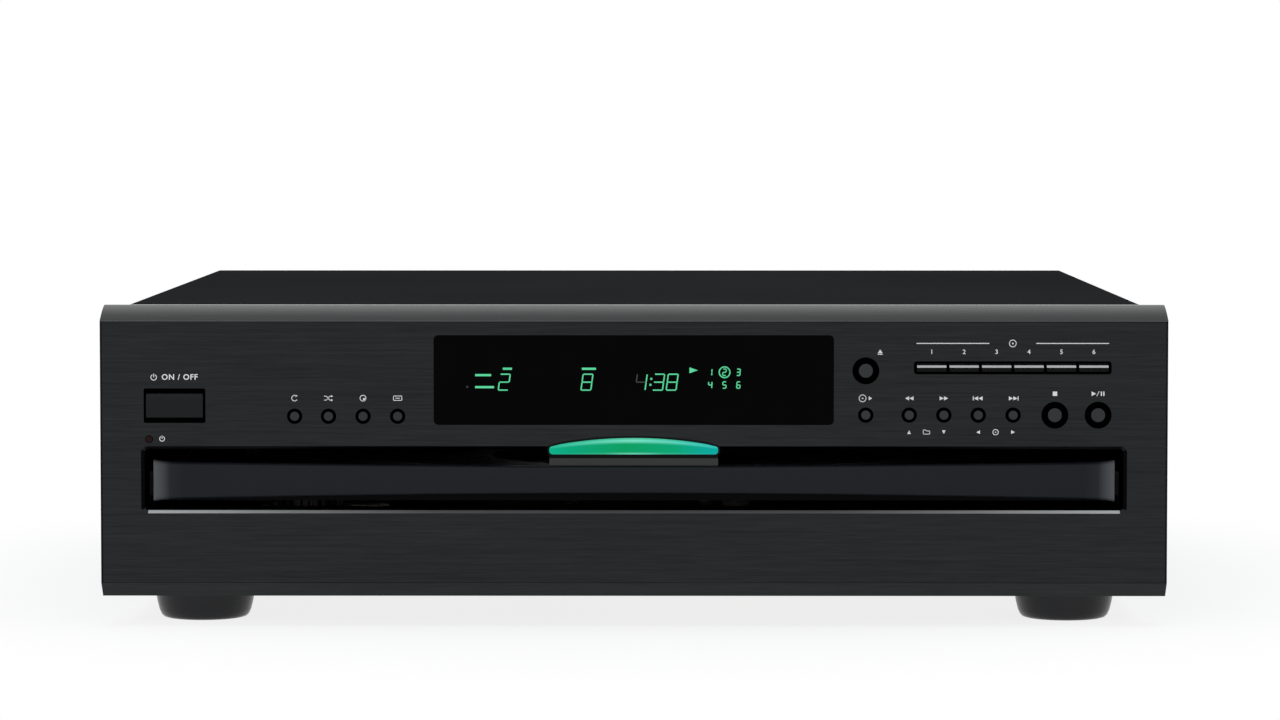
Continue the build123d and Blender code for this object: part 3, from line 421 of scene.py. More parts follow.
finishes = {
    "front_panel": brushed_front(),
    # Black plastic, made darker and less glossy as painted shade inside the slot.
    "front_subframe": moulded("subframe_black_and_shade", (0.0008, 0.0008, 0.0008), 0.7, specular=0.0),
    "display_window": dark_window(),
    "display_tube": moulded("tube_glass", (0.04, 0.06, 0.06), 0.1, 200.0, specular=0.5),
    "standby_lamp": moulded("lamp_red", (0.014, 0.002, 0.002), 0.3, 300.0, specular=0.1),
    "lamp_lens": lens_green,
    "lamp_holder": moulded("apron_black", (0.014, 0.0145, 0.015), 0.3, specular=0.4),
    "base_chassis": metal("chassis_zinc", ZINC, 0.38, (1, 1, 1), 220.0),
    "rear_panel": painted("rear_paint", (0.03, 0.031, 0.033), 0.5, specular=0.35),
    "top_cover": painted("cover_paint", (0.0185, 0.0195, 0.0205), 0.8, specular=0.0),
    "feet": foot_gloss,
    "drawer_front": drawer_satin_and_end_highlight,
    # Black plastic, made darker and less glossy as painted shade inside the slot.
    "drawer_tray": moulded("tray_black_and_shade", (0.003, 0.0031, 0.0033), 0.5, specular=0.05),
    "carousel": moulded("carousel_black", (0.016, 0.016, 0.017), 0.42),
    "carousel_cap": moulded("cap_black", (0.02, 0.02, 0.021), 0.35),
    "slide_rails": moulded("rail_black", BLACK, 0.5),
    "drive_belt": moulded("belt_rubber", (0.01, 0.01, 0.01), 0.8, specular=0.2),
    "lift_frame": metal("lift_zinc", ZINC, 0.35, (1, 1, 1), 260.0),
    "guide_rods": metal("ground_steel", (0.7, 0.7, 0.7), 0.15, (60, 1, 60), 20.0),
    "pickup_sled": moulded("sled_cast", (0.05, 0.05, 0.055), 0.45),
    "pickup_lens": moulded("lens_glass", (0.12, 0.16, 0.24), 0.05, 80.0, specular=0.8),
    "turntable": moulded("turntable_black", (0.02, 0.02, 0.021), 0.4),
    "clamper": moulded("clamper_black", (0.02, 0.02, 0.021), 0.4),
    "clamp_bridge": metal("bridge_zinc", ZINC, 0.35, (1, 1, 1), 260.0),
    "rear_jacks": moulded("jack_block", BLACK, 0.4),
    "mains_gland": moulded("gland_black", BLACK, 0.55),
    "cover_screws": metal("screw_black", (0.06, 0.06, 0.062), 0.3, (1, 1, 1), 500.0),
}
acetal = moulded("acetal_white", ACETAL, 0.4, 700.0, 0.00001)
for name in ("carousel_pinion", "carousel_ring", "sled_gear", "pulley_gear"):
    finishes[name] = acetal
pulley_black = moulded("pulley_black", BLACK, 0.4)
for name in ("motor_pulley", "drawer_gear", "lift_cam"):
    finishes[name] = pulley_black
# Thickness of a board with a little room, and the colour of what stands on it
SHEET = 0.0018
PART_BLACK = (0.012, 0.013, 0.016)
board_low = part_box("main_board")[0].z
finishes["main_board"] = two_part(
    "main_board_lacquer", "Z", board_low - SHEET, board_low + SHEET, BOARD, PART_BLACK
)
board_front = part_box("display_tube")[1].y
finishes["control_board"] = two_part(
    "control_board_lacquer", "Y", board_front - 0.0001, board_front + SHEET, BOARD, PART_BLACK
)
COIL_HEIGHT = 0.0039
CORE_STEEL = (0.03, 0.025, 0.02)
COIL_TAPE = (0.3, 0.2, 0.03)
core_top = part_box("transformer")[1].z - COIL_HEIGHT
finishes["transformer"] = two_part("transformer_core", "Z", 0.0, core_top, CORE_STEEL, COIL_TAPE)
can = metal("motor_can", (0.62, 0.62, 0.61), 0.22, (1, 1, 1), 300.0)
for name in ("carousel_motor", "loading_motor", "sled_motor", "spindle_motor"):
    finishes[name] = can
button_black = moulded("button_black", (0.011, 0.0122, 0.0128), 0.3, 900.0, 0.000003, 0.08)
for name in nodes:
    if name.endswith("_button") or name.startswith("disc_select_"):
        finishes[name] = button_black
for name, obj in nodes.items():
    obj.data.materials.clear()
    obj.data.materials.append(finishes[name])


def smooth(obj, angle=32):
    """Smooth shading that keeps edges sharper than the angle."""
    limit = math.radians(angle)
    mesh = obj.data
    mesh.polygons.foreach_set("use_smooth", [True] * len(mesh.polygons))
    mesh.set_sharp_from_angle(angle=limit)


for obj in nodes.values():
    smooth(obj)


# Turned and moulded pieces
def mesh_piece(name, verts, faces, mat, body):
    """A piece from its points and faces, riding a body."""
    mesh = bpy.data.meshes.new(name)
    mesh.from_pydata(verts, [], faces)
    mesh.update()
    obj = bpy.data.objects.new(name, mesh)
    mesh.materials.append(mat)
    scene.collection.objects.link(obj)
    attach(obj, body)
    return obj


def outward(obj):
    """Turn every face of a closed piece outward."""
    solid = bmesh.new()
    solid.from_mesh(obj.data)
    bmesh.ops.recalc_face_normals(solid, faces=solid.faces)
    solid.to_mesh(obj.data)
    solid.free()
    return obj


def turned(name, profile, at, axis, mat, body, steps=48):
    """A turned shape from (radius, place along the axis) pairs; axis is y or z."""
    verts = []
    faces = []
    for x, side in at:
        start = len(verts)
        for radius, along in profile:
            for i in range(steps):
                turn = 2 * math.pi * i / steps
                u = x + radius * math.cos(turn)
                v = side + radius * math.sin(turn)
                verts.append((u, along, v) if axis == "y" else (u, v, along))
        for row in range(len(profile) - 1):
            low = start + row * steps
            for i in range(steps):
                j = (i + 1) % steps
                faces.append((low + i, low + j, low + steps + j, low + steps + i))
        faces.append(tuple(range(start, start + steps)))
        faces.append(tuple(range(start + (len(profile) - 1) * steps, start + len(profile) * steps)))
    obj = outward(mesh_piece(name, verts, faces, mat, body))
    smooth(obj, 50)
    return obj


def extruded(name, outline, xs, mat, body):
    """A side outline of (y, z) pairs run between two x places."""
    count = len(outline)
    verts = [(x, y, z) for x in xs for y, z in outline]
    faces = [tuple(range(count))[::-1], tuple(range(count, 2 * count))]
    faces += [(i, (i + 1) % count, count + (i + 1) % count, count + i) for i in range(count)]
    return outward(mesh_piece(name, verts, faces, mat, body))


# A cap from its middle outward: share of its radius, millimetres behind its front
CAP_RADIUS = 3.0
CAP_SHAPE = (
    (0.06, 0.4),
    (0.18, 0.34),
    (0.3, 0.12),
    (0.42, 0.01),
    (0.52, 0.0),
    (0.64, 0.06),
    (0.74, 0.17),
    (0.83, 0.33),
    (0.91, 0.55),
    (0.97, 0.82),
    (1.0, 1.2),
    (1.0, 2.2),
    (0.5, 2.2),
)


def round_caps():
    """Dished metal-look caps in place of the plain round buttons."""
    for name in nodes:
        if not name.endswith("_button") or name == "power_button":
            continue
        low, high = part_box(name)
        radius = (high.x - low.x) / 2
        at = [((low.x + high.x) / 2, (low.z + high.z) / 2)]
        profile = [(radius * r, low.y + y * radius / CAP_RADIUS) for r, y in CAP_SHAPE]
        profile.append((radius * 0.5, high.y))
        cap = turned(name + "_cap", profile, at, "y", cap_metal, name)
        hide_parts(name)


# Select key in metres: ledge with a painted highlight from its middle up, and how far each edge steps back
LEDGE_FOOT = 0.0001
LEDGE_TOP = 0.001
LEDGE_DEEP = 0.0009
LEDGE_LIP = 0.0003
KEY_STEP = 0.0024
KEY_LEAN = 0.0004
KEY_GAP = 0.0002


def select_keys():
    """Select keys: a black face under a ledge that looks up, whose light metal is a painted highlight."""
    for name in nodes:
        if not name.startswith("disc_select_"):
            continue
        low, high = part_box(name)
        middle = (low.z + high.z) / 2
        ledge_low = middle + LEDGE_FOOT
        ledge_high = middle + LEDGE_TOP
        outline = [
            (low.y + KEY_LEAN, low.z + KEY_LEAN),
            (low.y, ledge_low - LEDGE_LIP),
            (low.y, ledge_low),
            (low.y + LEDGE_DEEP, ledge_high),
            (low.y + KEY_STEP, ledge_high),
            (low.y + KEY_STEP, high.z - KEY_GAP),
            (high.y, high.z - KEY_GAP),
            (high.y, low.z + KEY_LEAN),
        ]
        xs = (low.x + KEY_GAP, high.x - KEY_GAP)
        key = extruded(name + "_key", outline, xs, key_black_and_shade, name)
        key.data.materials.append(key_ledge_highlight)
        # Painted highlight: faces that look up and forward take the light metal.
        for face in key.data.polygons:
            looks_up_and_forward = 0.3 < face.normal.z < 0.9 and face.normal.y < -0.3
            if looks_up_and_forward:
                face.material_index = 1
        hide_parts(name)


# Drawer bar in metres: top and foot at its middle and ends, bow, curled ends, rounded long edges
FACE_TOP = 0.06574
FACE_TOP_END = 0.0674
FACE_LOW = 0.05495
FACE_LOW_END = 0.05155
FACE_BOW = 0.007
FACE_CURL = 0.0055
FACE_FLARE = 0.0006
FACE_END_DROP = 0.0008
FACE_HOLLOW = 0.00035
FACE_EDGE = ((0.0018, 0.0), (0.0012, 0.0001), (0.0006, 0.0004), (0.00015, 0.0009), (0.0, 0.0014))


def drawer_face():
    """The bowed drawer bar: rounded long edges, and ends that curl back."""
    low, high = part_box("drawer_front")
    half = high.x
    curl_at = half - FACE_CURL
    inner = [curl_at * i / 24 for i in range(25)]
    curl = [curl_at + FACE_CURL * math.sin(math.pi / 2 * i / 8) for i in range(1, 9)]
    right = inner + curl
    stations = [-x for x in right[:0:-1]] + right
    rows = []
    for x in stations:
        across = (x / half) ** 2
        over = max(0.0, abs(x) - curl_at) / FACE_CURL
        flare = FACE_FLARE * over * over
        top = FACE_TOP + (FACE_TOP_END - FACE_TOP) * across + flare
        foot = FACE_LOW + (FACE_LOW_END - FACE_LOW) * across - flare
        nose = low.y + FACE_BOW * across + FACE_END_DROP * over**1.3
        upper = [(nose + y, top - z) for y, z in FACE_EDGE]
        lower = [(nose + y, foot + z) for y, z in FACE_EDGE[::-1]]
        hollow = [(nose + FACE_HOLLOW, (top + foot) / 2)]
        rows.append([(high.y, top)] + upper + hollow + lower + [(high.y, foot)])
    count = len(rows[0])
    verts = [(x, y, z) for x, row in zip(stations, rows) for y, z in row]
    faces = [tuple(range(count)), tuple(range(len(verts) - count, len(verts)))]
    for k in range(len(stations) - 1):
        for i in range(count):
            j = (i + 1) % count
            faces.append((k * count + i, k * count + j, (k + 1) * count + j, (k + 1) * count + i))
    face = outward(mesh_piece("drawer_face", verts, faces, drawer_satin_and_end_highlight, "drawer"))
    smooth(face, 40)
    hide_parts("drawer_front")


# Lens in metres: corner radius, domed rim, ring of painted shade round it and painted shadow strip below it
LENS_CORNER = 0.0013
LENS_RIM = 0.0005
LENS_GAP = 0.0008
LENS_STRIP = 0.0017
# Steps of the dome: share of the rim it moves in, and how far it lies back
LENS_DOME = ((0.0, 0.004), (0.0, 0.0005), (0.3, 0.00015), (1.0, 0.0))
# How little the dome moves in from its ends, beside its top and foot
SIDE_SHARE = 0.1


def lens_outline(low, high, end_top, grow=0.0):
    """Lamp outline: flat below, arched above, with rounded ends."""
    half = high.x + grow
    points = []

    def corner(x, z, start, radius):
        for i in range(5):
            turn = math.radians(start + 90 * i / 4)
            points.append((x + radius * math.cos(turn), z + radius * math.sin(turn)))

    r = LENS_CORNER + grow
    corner(half - r, low.z - grow + r, -90, r)
    corner(half - r, end_top + grow - r, 0, r)
    for i in range(1, 20):
        x = (half - r) * (1 - i / 10)
        points.append((x, end_top + grow + (high.z - end_top) * (1 - (x / half) ** 2)))
    corner(-half + r, end_top + grow - r, 90, r)
    corner(-half + r, low.z - grow + r, 180, r)
    return points


def lamp():
    """Domed green lens in a ring of painted shade, with a painted shadow strip under it."""
    low, high = lens_low, lens_high
    outer = lens_outline(low, high, LENS_END_TOP)
    centre_z = (low.z + LENS_END_TOP) / 2
    verts = []
    for share, back in LENS_DOME:
        inset = LENS_RIM * share
        for x, z in outer:
            side = x * SIDE_SHARE
            rise = z - centre_z
            length = math.hypot(side, rise)
            verts.append((x - inset * side / length, low.y + back, z - inset * rise / length))
    count = len(outer)
    steps = len(LENS_DOME) - 1
    faces = [tuple(range(count)), tuple(range(steps * count, (steps + 1) * count))]
    for k in range(steps):
        for i in range(count):
            j = (i + 1) % count
            faces.append((k * count + i, k * count + j, (k + 1) * count + j, (k + 1) * count + i))
    lens = outward(mesh_piece("lens", verts, faces, lens_green, "housing"))
    smooth(lens, 60)
    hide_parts("lamp_lens")
    # Painted shade: a flat black ring round the lens and a flat black strip under it.
    gap = Marks(PANEL_Y - MARK_LIFT)
    inner = lens_outline(low, high, LENS_END_TOP)
    outer = lens_outline(low, high, LENS_END_TOP, LENS_GAP)
    for i in range(count):
        j = (i + 1) % count
        ring = (inner[i], outer[i], outer[j], inner[j])
        gap.shape([(x * 1000, z * 1000) for x, z in ring])
    gap.build("lens_gap_shade", key_black_and_shade, "housing")
    under = Marks(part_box("lamp_holder")[0].y - MARK_LIFT)
    under.bar(low.x * 1000, high.x * 1000, (low.z - LENS_STRIP) * 1000, low.z * 1000)
    under.build("lens_shadow", key_black_and_shade, "housing")


# Painted highlight and painted shadow lines on the panel, in metres
BEVEL_HALF = 0.2173
BEVEL_EDGE = (0.12502, 0.12528)
BEVEL_SHADOW = (0.1247, 0.12496)
SIDE_SHADOW = 0.0006
CHAMFER_SHADOW = (0.01812, 0.01832)
SLOT_HALF = 0.1982
SLOT_EDGE_LOW = 0.0467
SLOT_EDGE_DEEP = 0.0011
SLOT_EDGE_STEPS = 40


def slot_edge():
    """Strip along the lower lip of the slot with a painted highlight, bright at its ends and dull along its
    middle.
    """
    verts = []
    for i in range(SLOT_EDGE_STEPS + 1):
        x = SLOT_HALF * (2 * i / SLOT_EDGE_STEPS - 1)
        verts.append((x, PANEL_Y - MARK_LIFT, SLOT_EDGE_LOW - 0.0001))
        verts.append((x, PANEL_Y + SLOT_EDGE_DEEP, SLOT_EDGE_LOW + SLOT_EDGE_DEEP))
    faces = [(2 * i, 2 * i + 2, 2 * i + 3, 2 * i + 1) for i in range(SLOT_EDGE_STEPS)]
    # Painted highlight strip on the lip.
    mesh_piece("slot_edge", verts, faces, lip_painted_highlight, "housing")


def bevel_edge():
    """Painted highlight strip under the top bevel, with painted shadow lines below it, at the sides and at
    the chamfer.
    """
    y = PANEL_Y - MARK_LIFT
    for name, side in (("left_shadow", -1), ("right_shadow", 1)):
        xs = (side * (BEVEL_HALF - SIDE_SHADOW), side * BEVEL_HALF)
        verts = [(x, y, z) for x in xs for z in (CHAMFER_SHADOW[0], BEVEL_SHADOW[1])]
        mesh_piece(name, verts, [(0, 2, 3, 1)], key_black_and_shade, "housing")
    for name, edge, mat in (
        ("bevel_edge", BEVEL_EDGE, bevel_painted_highlight),
        ("bevel_shadow", BEVEL_SHADOW, key_black_and_shade),
        ("chamfer_shadow", CHAMFER_SHADOW, key_black_and_shade),
    ):
        verts = [(x, y, z) for x in (-BEVEL_HALF, BEVEL_HALF) for z in edge]
        mesh_piece(name, verts, [(0, 2, 3, 1)], mat, "housing")


# Power key's edges in metres: back from its front, in from its foot or its top
POWER_FOOT = ((0.0006, 0.0), (0.0, 0.0007))
POWER_TOP = ((0.0, 0.0019), (0.0003, 0.0012), (0.0012, 0.0))
POWER_ROUNDING = 0.00025


def power_key():
    """Power key whose top edge is bevelled and catches the light."""
    low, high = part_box("power_button")
    outline = [(low.y + back, low.z + up) for back, up in POWER_FOOT]
    outline += [(low.y + back, high.z - down) for back, down in POWER_TOP]
    outline += [(high.y, high.z), (high.y, low.z)]
    key = extruded("power_key", outline, (low.x, high.x), button_black, "power_button")
    edge = key.modifiers.new("rounding", "BEVEL")
    edge.width = POWER_ROUNDING
    edge.segments = 2
    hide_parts("power_button")


# A foot from its sole up: radius and height in millimetres
FOOT_SHAPE = (
    (16.0, 0.0),
    (17.2, 0.35),
    (18.2, 1.3),
    (19.1, 3.3),
    (19.9, 6.6),
    (20.4, 9.5),
    (20.65, 12.2),
)


def glossy_feet():
    """Four round feet whose sides widen upward."""
    low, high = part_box("feet")
    reach = FOOT_SHAPE[-1][0] / 1000
    at = [(x, y) for x in (low.x + reach, high.x - reach) for y in (low.y + reach, high.y - reach)]
    profile = [(r / 1000, z / 1000) for r, z in FOOT_SHAPE] + [(reach, high.z)]
    feet = turned("turned_feet", profile, at, "z", foot_gloss, "housing", 64)
    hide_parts("feet")


# Flat marks
class Marks:
    """Flat shapes gathered on one upright plane, in millimetres of x and z."""

    def __init__(self, y):
        self.y = y
        self.verts = []
        self.faces = []

    def shape(self, points):
        start = len(self.verts)
        self.verts += [(x / 1000, self.y, z / 1000) for x, z in points]
        self.faces.append(tuple(range(start, len(self.verts))))

    def bar(self, x0, x1, z0, z1):
        self.shape([(x0, z0), (x1, z0), (x1, z1), (x0, z1)])

    def line(self, a, b, wide):
        (x0, z0), (x1, z1) = a, b
        long = math.hypot(x1 - x0, z1 - z0)
        dx = -(z1 - z0) / long * wide / 2
        dz = (x1 - x0) / long * wide / 2
        self.shape([(x0 - dx, z0 - dz), (x1 - dx, z1 - dz), (x1 + dx, z1 + dz), (x0 + dx, z0 + dz)])

    def path(self, points, wide):
        for a, b in zip(points, points[1:]):
            self.line(a, b, wide)

    def ring(self, x, z, radius, wide, start=0.0, sweep=360.0, steps=20):
        for i in range(steps):
            a = math.radians(start + sweep * i / steps)
            b = math.radians(start + sweep * (i + 1) / steps)
            inner = radius - wide / 2
            outer = radius + wide / 2
            self.shape(
                [
                    (x + inner * math.cos(a), z + inner * math.sin(a)),
                    (x + outer * math.cos(a), z + outer * math.sin(a)),
                    (x + outer * math.cos(b), z + outer * math.sin(b)),
                    (x + inner * math.cos(b), z + inner * math.sin(b)),
                ]
            )

    def disc(self, x, z, radius, steps=16):
        self.shape(
            [
                (x + radius * math.cos(turn), z + radius * math.sin(turn))
                for turn in (2 * math.pi * i / steps for i in range(steps))
            ]
        )

    def triangle(self, x, z, wide, tall, way):
        """A triangle centred on a point; way is right, left, up or down."""
        turn = {"right": (1, 0), "left": (-1, 0), "up": (0, 1), "down": (0, -1)}[way]
        along = Vector(turn)
        across = Vector((-turn[1], turn[0]))
        reach = (wide if turn[0] else tall) / 2
        half = (tall if turn[0] else wide) / 2
        points = (along * reach, across * half - along * reach, -across * half - along * reach)
        self.shape([(x + p.x, z + p.y) for p in points])

    def build(self, name, mat, body):
        return mesh_piece(name, self.verts, self.faces, mat, body)


SEGMENTS = {
    "1": "bc",
    "2": "abged",
    "3": "abgcd",
    "4": "fgbc",
    "4 lit": "bc",
    "4 dim": "fg",
    "5": "afgcd",
    "6": "afgecd",
    "8": "abcdefg",
}
ENDS = {
    "a": ((0, 1), (1, 1)),
    "b": ((1, 1), (1, 0.5)),
    "c": ((1, 0.5), (1, 0)),
    "d": ((0, 0), (1, 0)),
    "e": ((0, 0.5), (0, 0)),
    "f": ((0, 1), (0, 0.5)),
    "g": ((0, 0.5), (1, 0.5)),
}


# Gap at each end of a bar, as a share of its thickness
SEGMENT_GAP = 0.2
DIGIT_LEAN = 0.14


def segment_digit(marks, digit, x, z, wide, tall, thick, lean=DIGIT_LEAN):
    """A seven-part digit whose left foot is at x, z."""
    for part in SEGMENTS[digit]:
        (ax, az), (bx, bz) = ENDS[part]
        a = Vector((x + ax * wide + lean * az * tall, z + az * tall))
        b = Vector((x + bx * wide + lean * bz * tall, z + bz * tall))
        gap = (b - a).normalized() * thick * SEGMENT_GAP
        marks.line(a + gap, b - gap, thick)


# White print on the panel: sizes and places in millimetres
PRINT = moulded("print_white", (0.8, 0.8, 0.8), 0.5, 900.0, 0.000005)
KEY_PITCH = 13.19
FIRST_KEY = 121.3
NUMERAL_Z = 112.6
NUMERAL_SIZE = 2.6
LINE_Z = 116.1
LINE_LONG = 29.6
LINE_XS = (115.1, 163.8)
SELECT_SIGN_X = 154.25
EJECT_X = 100.3
SKIP_X = 93.2
STOP_X = 171.5
PLAY_X = 187.3
PLAY_Z = 95.6
POWER_SIGN = (-195.6, 102.2)
POWER_WORDS_X = -185.0
POWER_WORDS_SIZE = 3.2
STANDBY_SIGN = (-192.3, 77.1)
SIGN_Z = 93.7
LOW_SIGN_Z = 79.9
TRANSPORT_XS = (112.2, 126.3, 140.3, 154.5)
LEFT_XS = (-138.2, -124.4, -110.3, -96.2)
LETTER_WEIGHT = 0.014


def text_mark(name, words, x, z, size, mat, body, slot):
    """Filled letters centred on x, z, in millimetres."""
    curve = bpy.data.curves.new(name, "FONT")
    curve.body = words
    curve.size = size / 1000
    curve.align_x = "CENTER"
    curve.align_y = "CENTER"
    curve.resolution_u = 3
    curve.space_character = 1.12
    curve.offset = size * LETTER_WEIGHT / 1000
    source = bpy.data.objects.new(name + "_outline", curve)
    scene.collection.objects.link(source)
    bpy.context.view_layer.update()
    flat = bpy.data.meshes.new_from_object(source)
    verts = [(x / 1000 + v.co.x, PANEL_Y - MARK_LIFT, z / 1000 + v.co.y) for v in flat.vertices]
    faces = [tuple(p.vertices) for p in flat.polygons]
    bpy.data.objects.remove(source)
    return mesh_piece(name, verts, faces, mat, body)


def arrow_pair(marks, x, z, way, bar=False):
    """Two triangles side by side, with a stop bar on the leading side if asked."""
    step = 0.9 if way == "right" else -0.9
    marks.triangle(x - step, z, 1.7, 1.7, way)
    marks.triangle(x + step, z, 1.7, 1.7, way)
    if bar:
        edge = x + step * 2.25
        marks.bar(edge - 0.18, edge + 0.18, z - 0.85, z + 0.85)


def loop_sign(marks, x, z):
    marks.ring(x, z, 1.15, 0.3, 60, 270, 16)
    marks.triangle(x + 0.85, z + 0.95, 0.9, 0.9, "right")


def shuffle_sign(marks, x, z):
    for side in (-1, 1):
        marks.path([(x - 1.8, z + side * 0.8), (x - 0.8, z + side * 0.8), (x + 0.5, z - side * 0.8)], 0.28)
        marks.path([(x + 0.5, z - side * 0.8), (x + 1.1, z - side * 0.8)], 0.28)
        marks.triangle(x + 1.5, z - side * 0.8, 0.8, 0.9, "right")


def sun_sign(marks, x, z):
    marks.ring(x, z, 1.2, 0.3)
    marks.ring(x, z, 0.6, 1.2, -90, 90, 16)


def screen_sign(marks, x, z):
    corners = [(x - 1.7, z - 0.9), (x + 1.7, z - 0.9), (x + 1.7, z + 0.9), (x - 1.7, z + 0.9)]
    marks.path(corners + corners[:1], 0.28)
    marks.bar(x - 0.9, x + 0.9, z - 0.14, z + 0.14)


def folder_sign(marks, x, z):
    outline = [(x - 1.3, z - 0.8), (x + 1.3, z - 0.8), (x + 1.3, z + 0.5), (x, z + 0.5)]
    outline += [(x - 0.4, z + 0.9), (x - 1.3, z + 0.9), (x - 1.3, z - 0.8)]
    marks.path(outline, 0.26)


def disc_sign(marks, x, z, radius=1.4):
    marks.ring(x, z, radius, 0.3)
    marks.disc(x, z, radius * 0.25, 8)


def panel_print():
    """Common signs, numerals and one switch label in white."""
    marks = Marks(PANEL_Y - MARK_LIFT)
    for x in LINE_XS:
        marks.bar(x, x + LINE_LONG, LINE_Z - 0.18, LINE_Z + 0.18)
    disc_sign(marks, SELECT_SIGN_X, LINE_Z)
    marks.triangle(EJECT_X, NUMERAL_Z + 0.3, 2.0, 1.5, "up")
    marks.bar(EJECT_X - 1, EJECT_X + 1, NUMERAL_Z - 1.1, NUMERAL_Z - 0.7)
    disc_sign(marks, SKIP_X, SIGN_Z)
    marks.triangle(SKIP_X + 3.2, SIGN_Z, 1.4, 1.7, "right")
    arrow_pair(marks, TRANSPORT_XS[0], SIGN_Z, "left")
    arrow_pair(marks, TRANSPORT_XS[1], SIGN_Z, "right")
    arrow_pair(marks, TRANSPORT_XS[2], SIGN_Z, "left", True)
    arrow_pair(marks, TRANSPORT_XS[3], SIGN_Z, "right", True)
    for x, way in zip(TRANSPORT_XS, ("up", "down", "left", "right")):
        marks.triangle(x, LOW_SIGN_Z, 1.5, 1.5, way)
    folder_sign(marks, (TRANSPORT_XS[0] + TRANSPORT_XS[1]) / 2, LOW_SIGN_Z)
    disc_sign(marks, (TRANSPORT_XS[2] + TRANSPORT_XS[3]) / 2, LOW_SIGN_Z, 1.1)
    marks.bar(STOP_X - 0.9, STOP_X + 0.9, PLAY_Z - 0.9, PLAY_Z + 0.9)
    marks.triangle(PLAY_X, PLAY_Z, 1.8, 1.9, "right")
    marks.line((PLAY_X + 1.2, PLAY_Z - 1), (PLAY_X + 2.2, PLAY_Z + 1), 0.25)
    for x in (PLAY_X + 3.1, PLAY_X + 4.1):
        marks.bar(x - 0.25, x + 0.25, PLAY_Z - 0.9, PLAY_Z + 0.9)
    loop_sign(marks, LEFT_XS[0], SIGN_Z)
    shuffle_sign(marks, LEFT_XS[1], SIGN_Z)
    sun_sign(marks, LEFT_XS[2], SIGN_Z)
    screen_sign(marks, LEFT_XS[3], SIGN_Z)
    for (x, z), radius, half, tall in ((POWER_SIGN, 1.15, 0.15, 1.5), (STANDBY_SIGN, 1.0, 0.13, 1.3)):
        marks.ring(x, z, radius, 0.3, 120, 300, 16)
        marks.bar(x - half, x + half, z, z + tall)
    marks.build("panel_signs", PRINT, "housing")
    words = (POWER_WORDS_X, POWER_SIGN[1], POWER_WORDS_SIZE)
    text_mark("on_off_print", "ON / OFF", *words, PRINT, "housing", "front_panel")
    for i in range(6):
        x = FIRST_KEY + i * KEY_PITCH
        place = (x, NUMERAL_Z, NUMERAL_SIZE)
        text_mark(f"numeral_{i + 1}", str(i + 1), *place, PRINT, "housing", "front_panel")


# Marks of the back, in millimetres; a ring is its radius and its width
JACKS = ((60.0, "jack_white"), (80.0, "jack_red"))
JACK_DROP = 7.0
JACK_FACE = (2.35, 1.4)
JACK_RIM = (3.6, 1.0)
SOCKET_FRAMES = ((51.0, 89.0), (100.0, 120.0), (131.0, 167.0))
FRAME_HALF = 9
REAR_SCREWS = (-189.5, 0.0, 189.5)
SCREW_HEAD = 3.6
CROSS_LONG = 1.9
CROSS_WIDE = 0.35


def rear_details():
    """Coloured socket faces, plated rings and white frames on the back, and screw recesses drawn as flat
    crosses of painted shade.
    """
    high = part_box("rear_jacks")[1]
    z = high.z * 1000 - JACK_DROP
    colours = {"jack_white": (0.7, 0.7, 0.68), "jack_red": (0.55, 0.012, 0.01)}
    for x, name in JACKS:
        face = Marks(high.y + MARK_LIFT)
        face.ring(x, z, *JACK_FACE, steps=32)
        face.build(name, moulded(name, colours[name], 0.3), "housing")
    plated = Marks(high.y + MARK_LIFT)
    for x, name in JACKS:
        plated.ring(x, z, *JACK_RIM, steps=32)
    plated.build("jack_rims", finishes["guide_rods"], "housing")
    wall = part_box("rear_panel")[1]
    frame_marks = Marks(wall.y + MARK_LIFT)
    for x0, x1 in SOCKET_FRAMES:
        foot, top = z - FRAME_HALF, z + FRAME_HALF
        frame_marks.path([(x0, foot), (x1, foot), (x1, top), (x0, top), (x0, foot)], 0.35)
    frame_marks.build("rear_frames", PRINT, "housing")
    # Painted shade: flat black crosses stand for the screw recesses.
    screw_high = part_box("cover_screws")[1]
    cross = Marks(screw_high.y + MARK_LIFT)
    middle = screw_high.z * 1000 - SCREW_HEAD
    for x in REAR_SCREWS:
        for across, up in ((CROSS_LONG, CROSS_WIDE), (CROSS_WIDE, CROSS_LONG)):
            cross.bar(x - across, x + across, middle - up, middle + up)
    cross.build("screw_recesses", key_black_and_shade, "housing")


# Figures of the display, in millimetres
DIGITS = (("2", -55.2), ("8", -21.5), ("4 lit", 0.6), ("3", 7.7), ("8", 13.2))
DIM_DIGIT_X = 0.6
DIM_DOT = (-68.2, -67.5, 98.0, 98.7)
DIGIT_FOOT = 97.0
DIGIT_TALL = 6.5
DIGIT_WIDE = 4.0
DIGIT_THICK = 0.52
DIM_THICK = 0.45
COLON_ZS = (99.2, 101.6)
COLON_XS = (6.1, 6.9)
BARS = ((-64.6, -58.1, 103.1), (-64.6, -56.9, 98.2), (-53.3, -49.6, 105.7), (-21.1, -15.4, 105.7))
GRID_XS = (31.2, 37.0, 42.7)
GRID_ZS = (104.3, 99.1)
RINGED = 2
# A small digit is its width, height, thickness and lean
SMALL_DIGIT = (1.35, 2.6, 0.44, 0.06)
SMALL_LEFT = 0.8
PLAY_MARK = (24.4, 105.1, 3.4, 2.4)


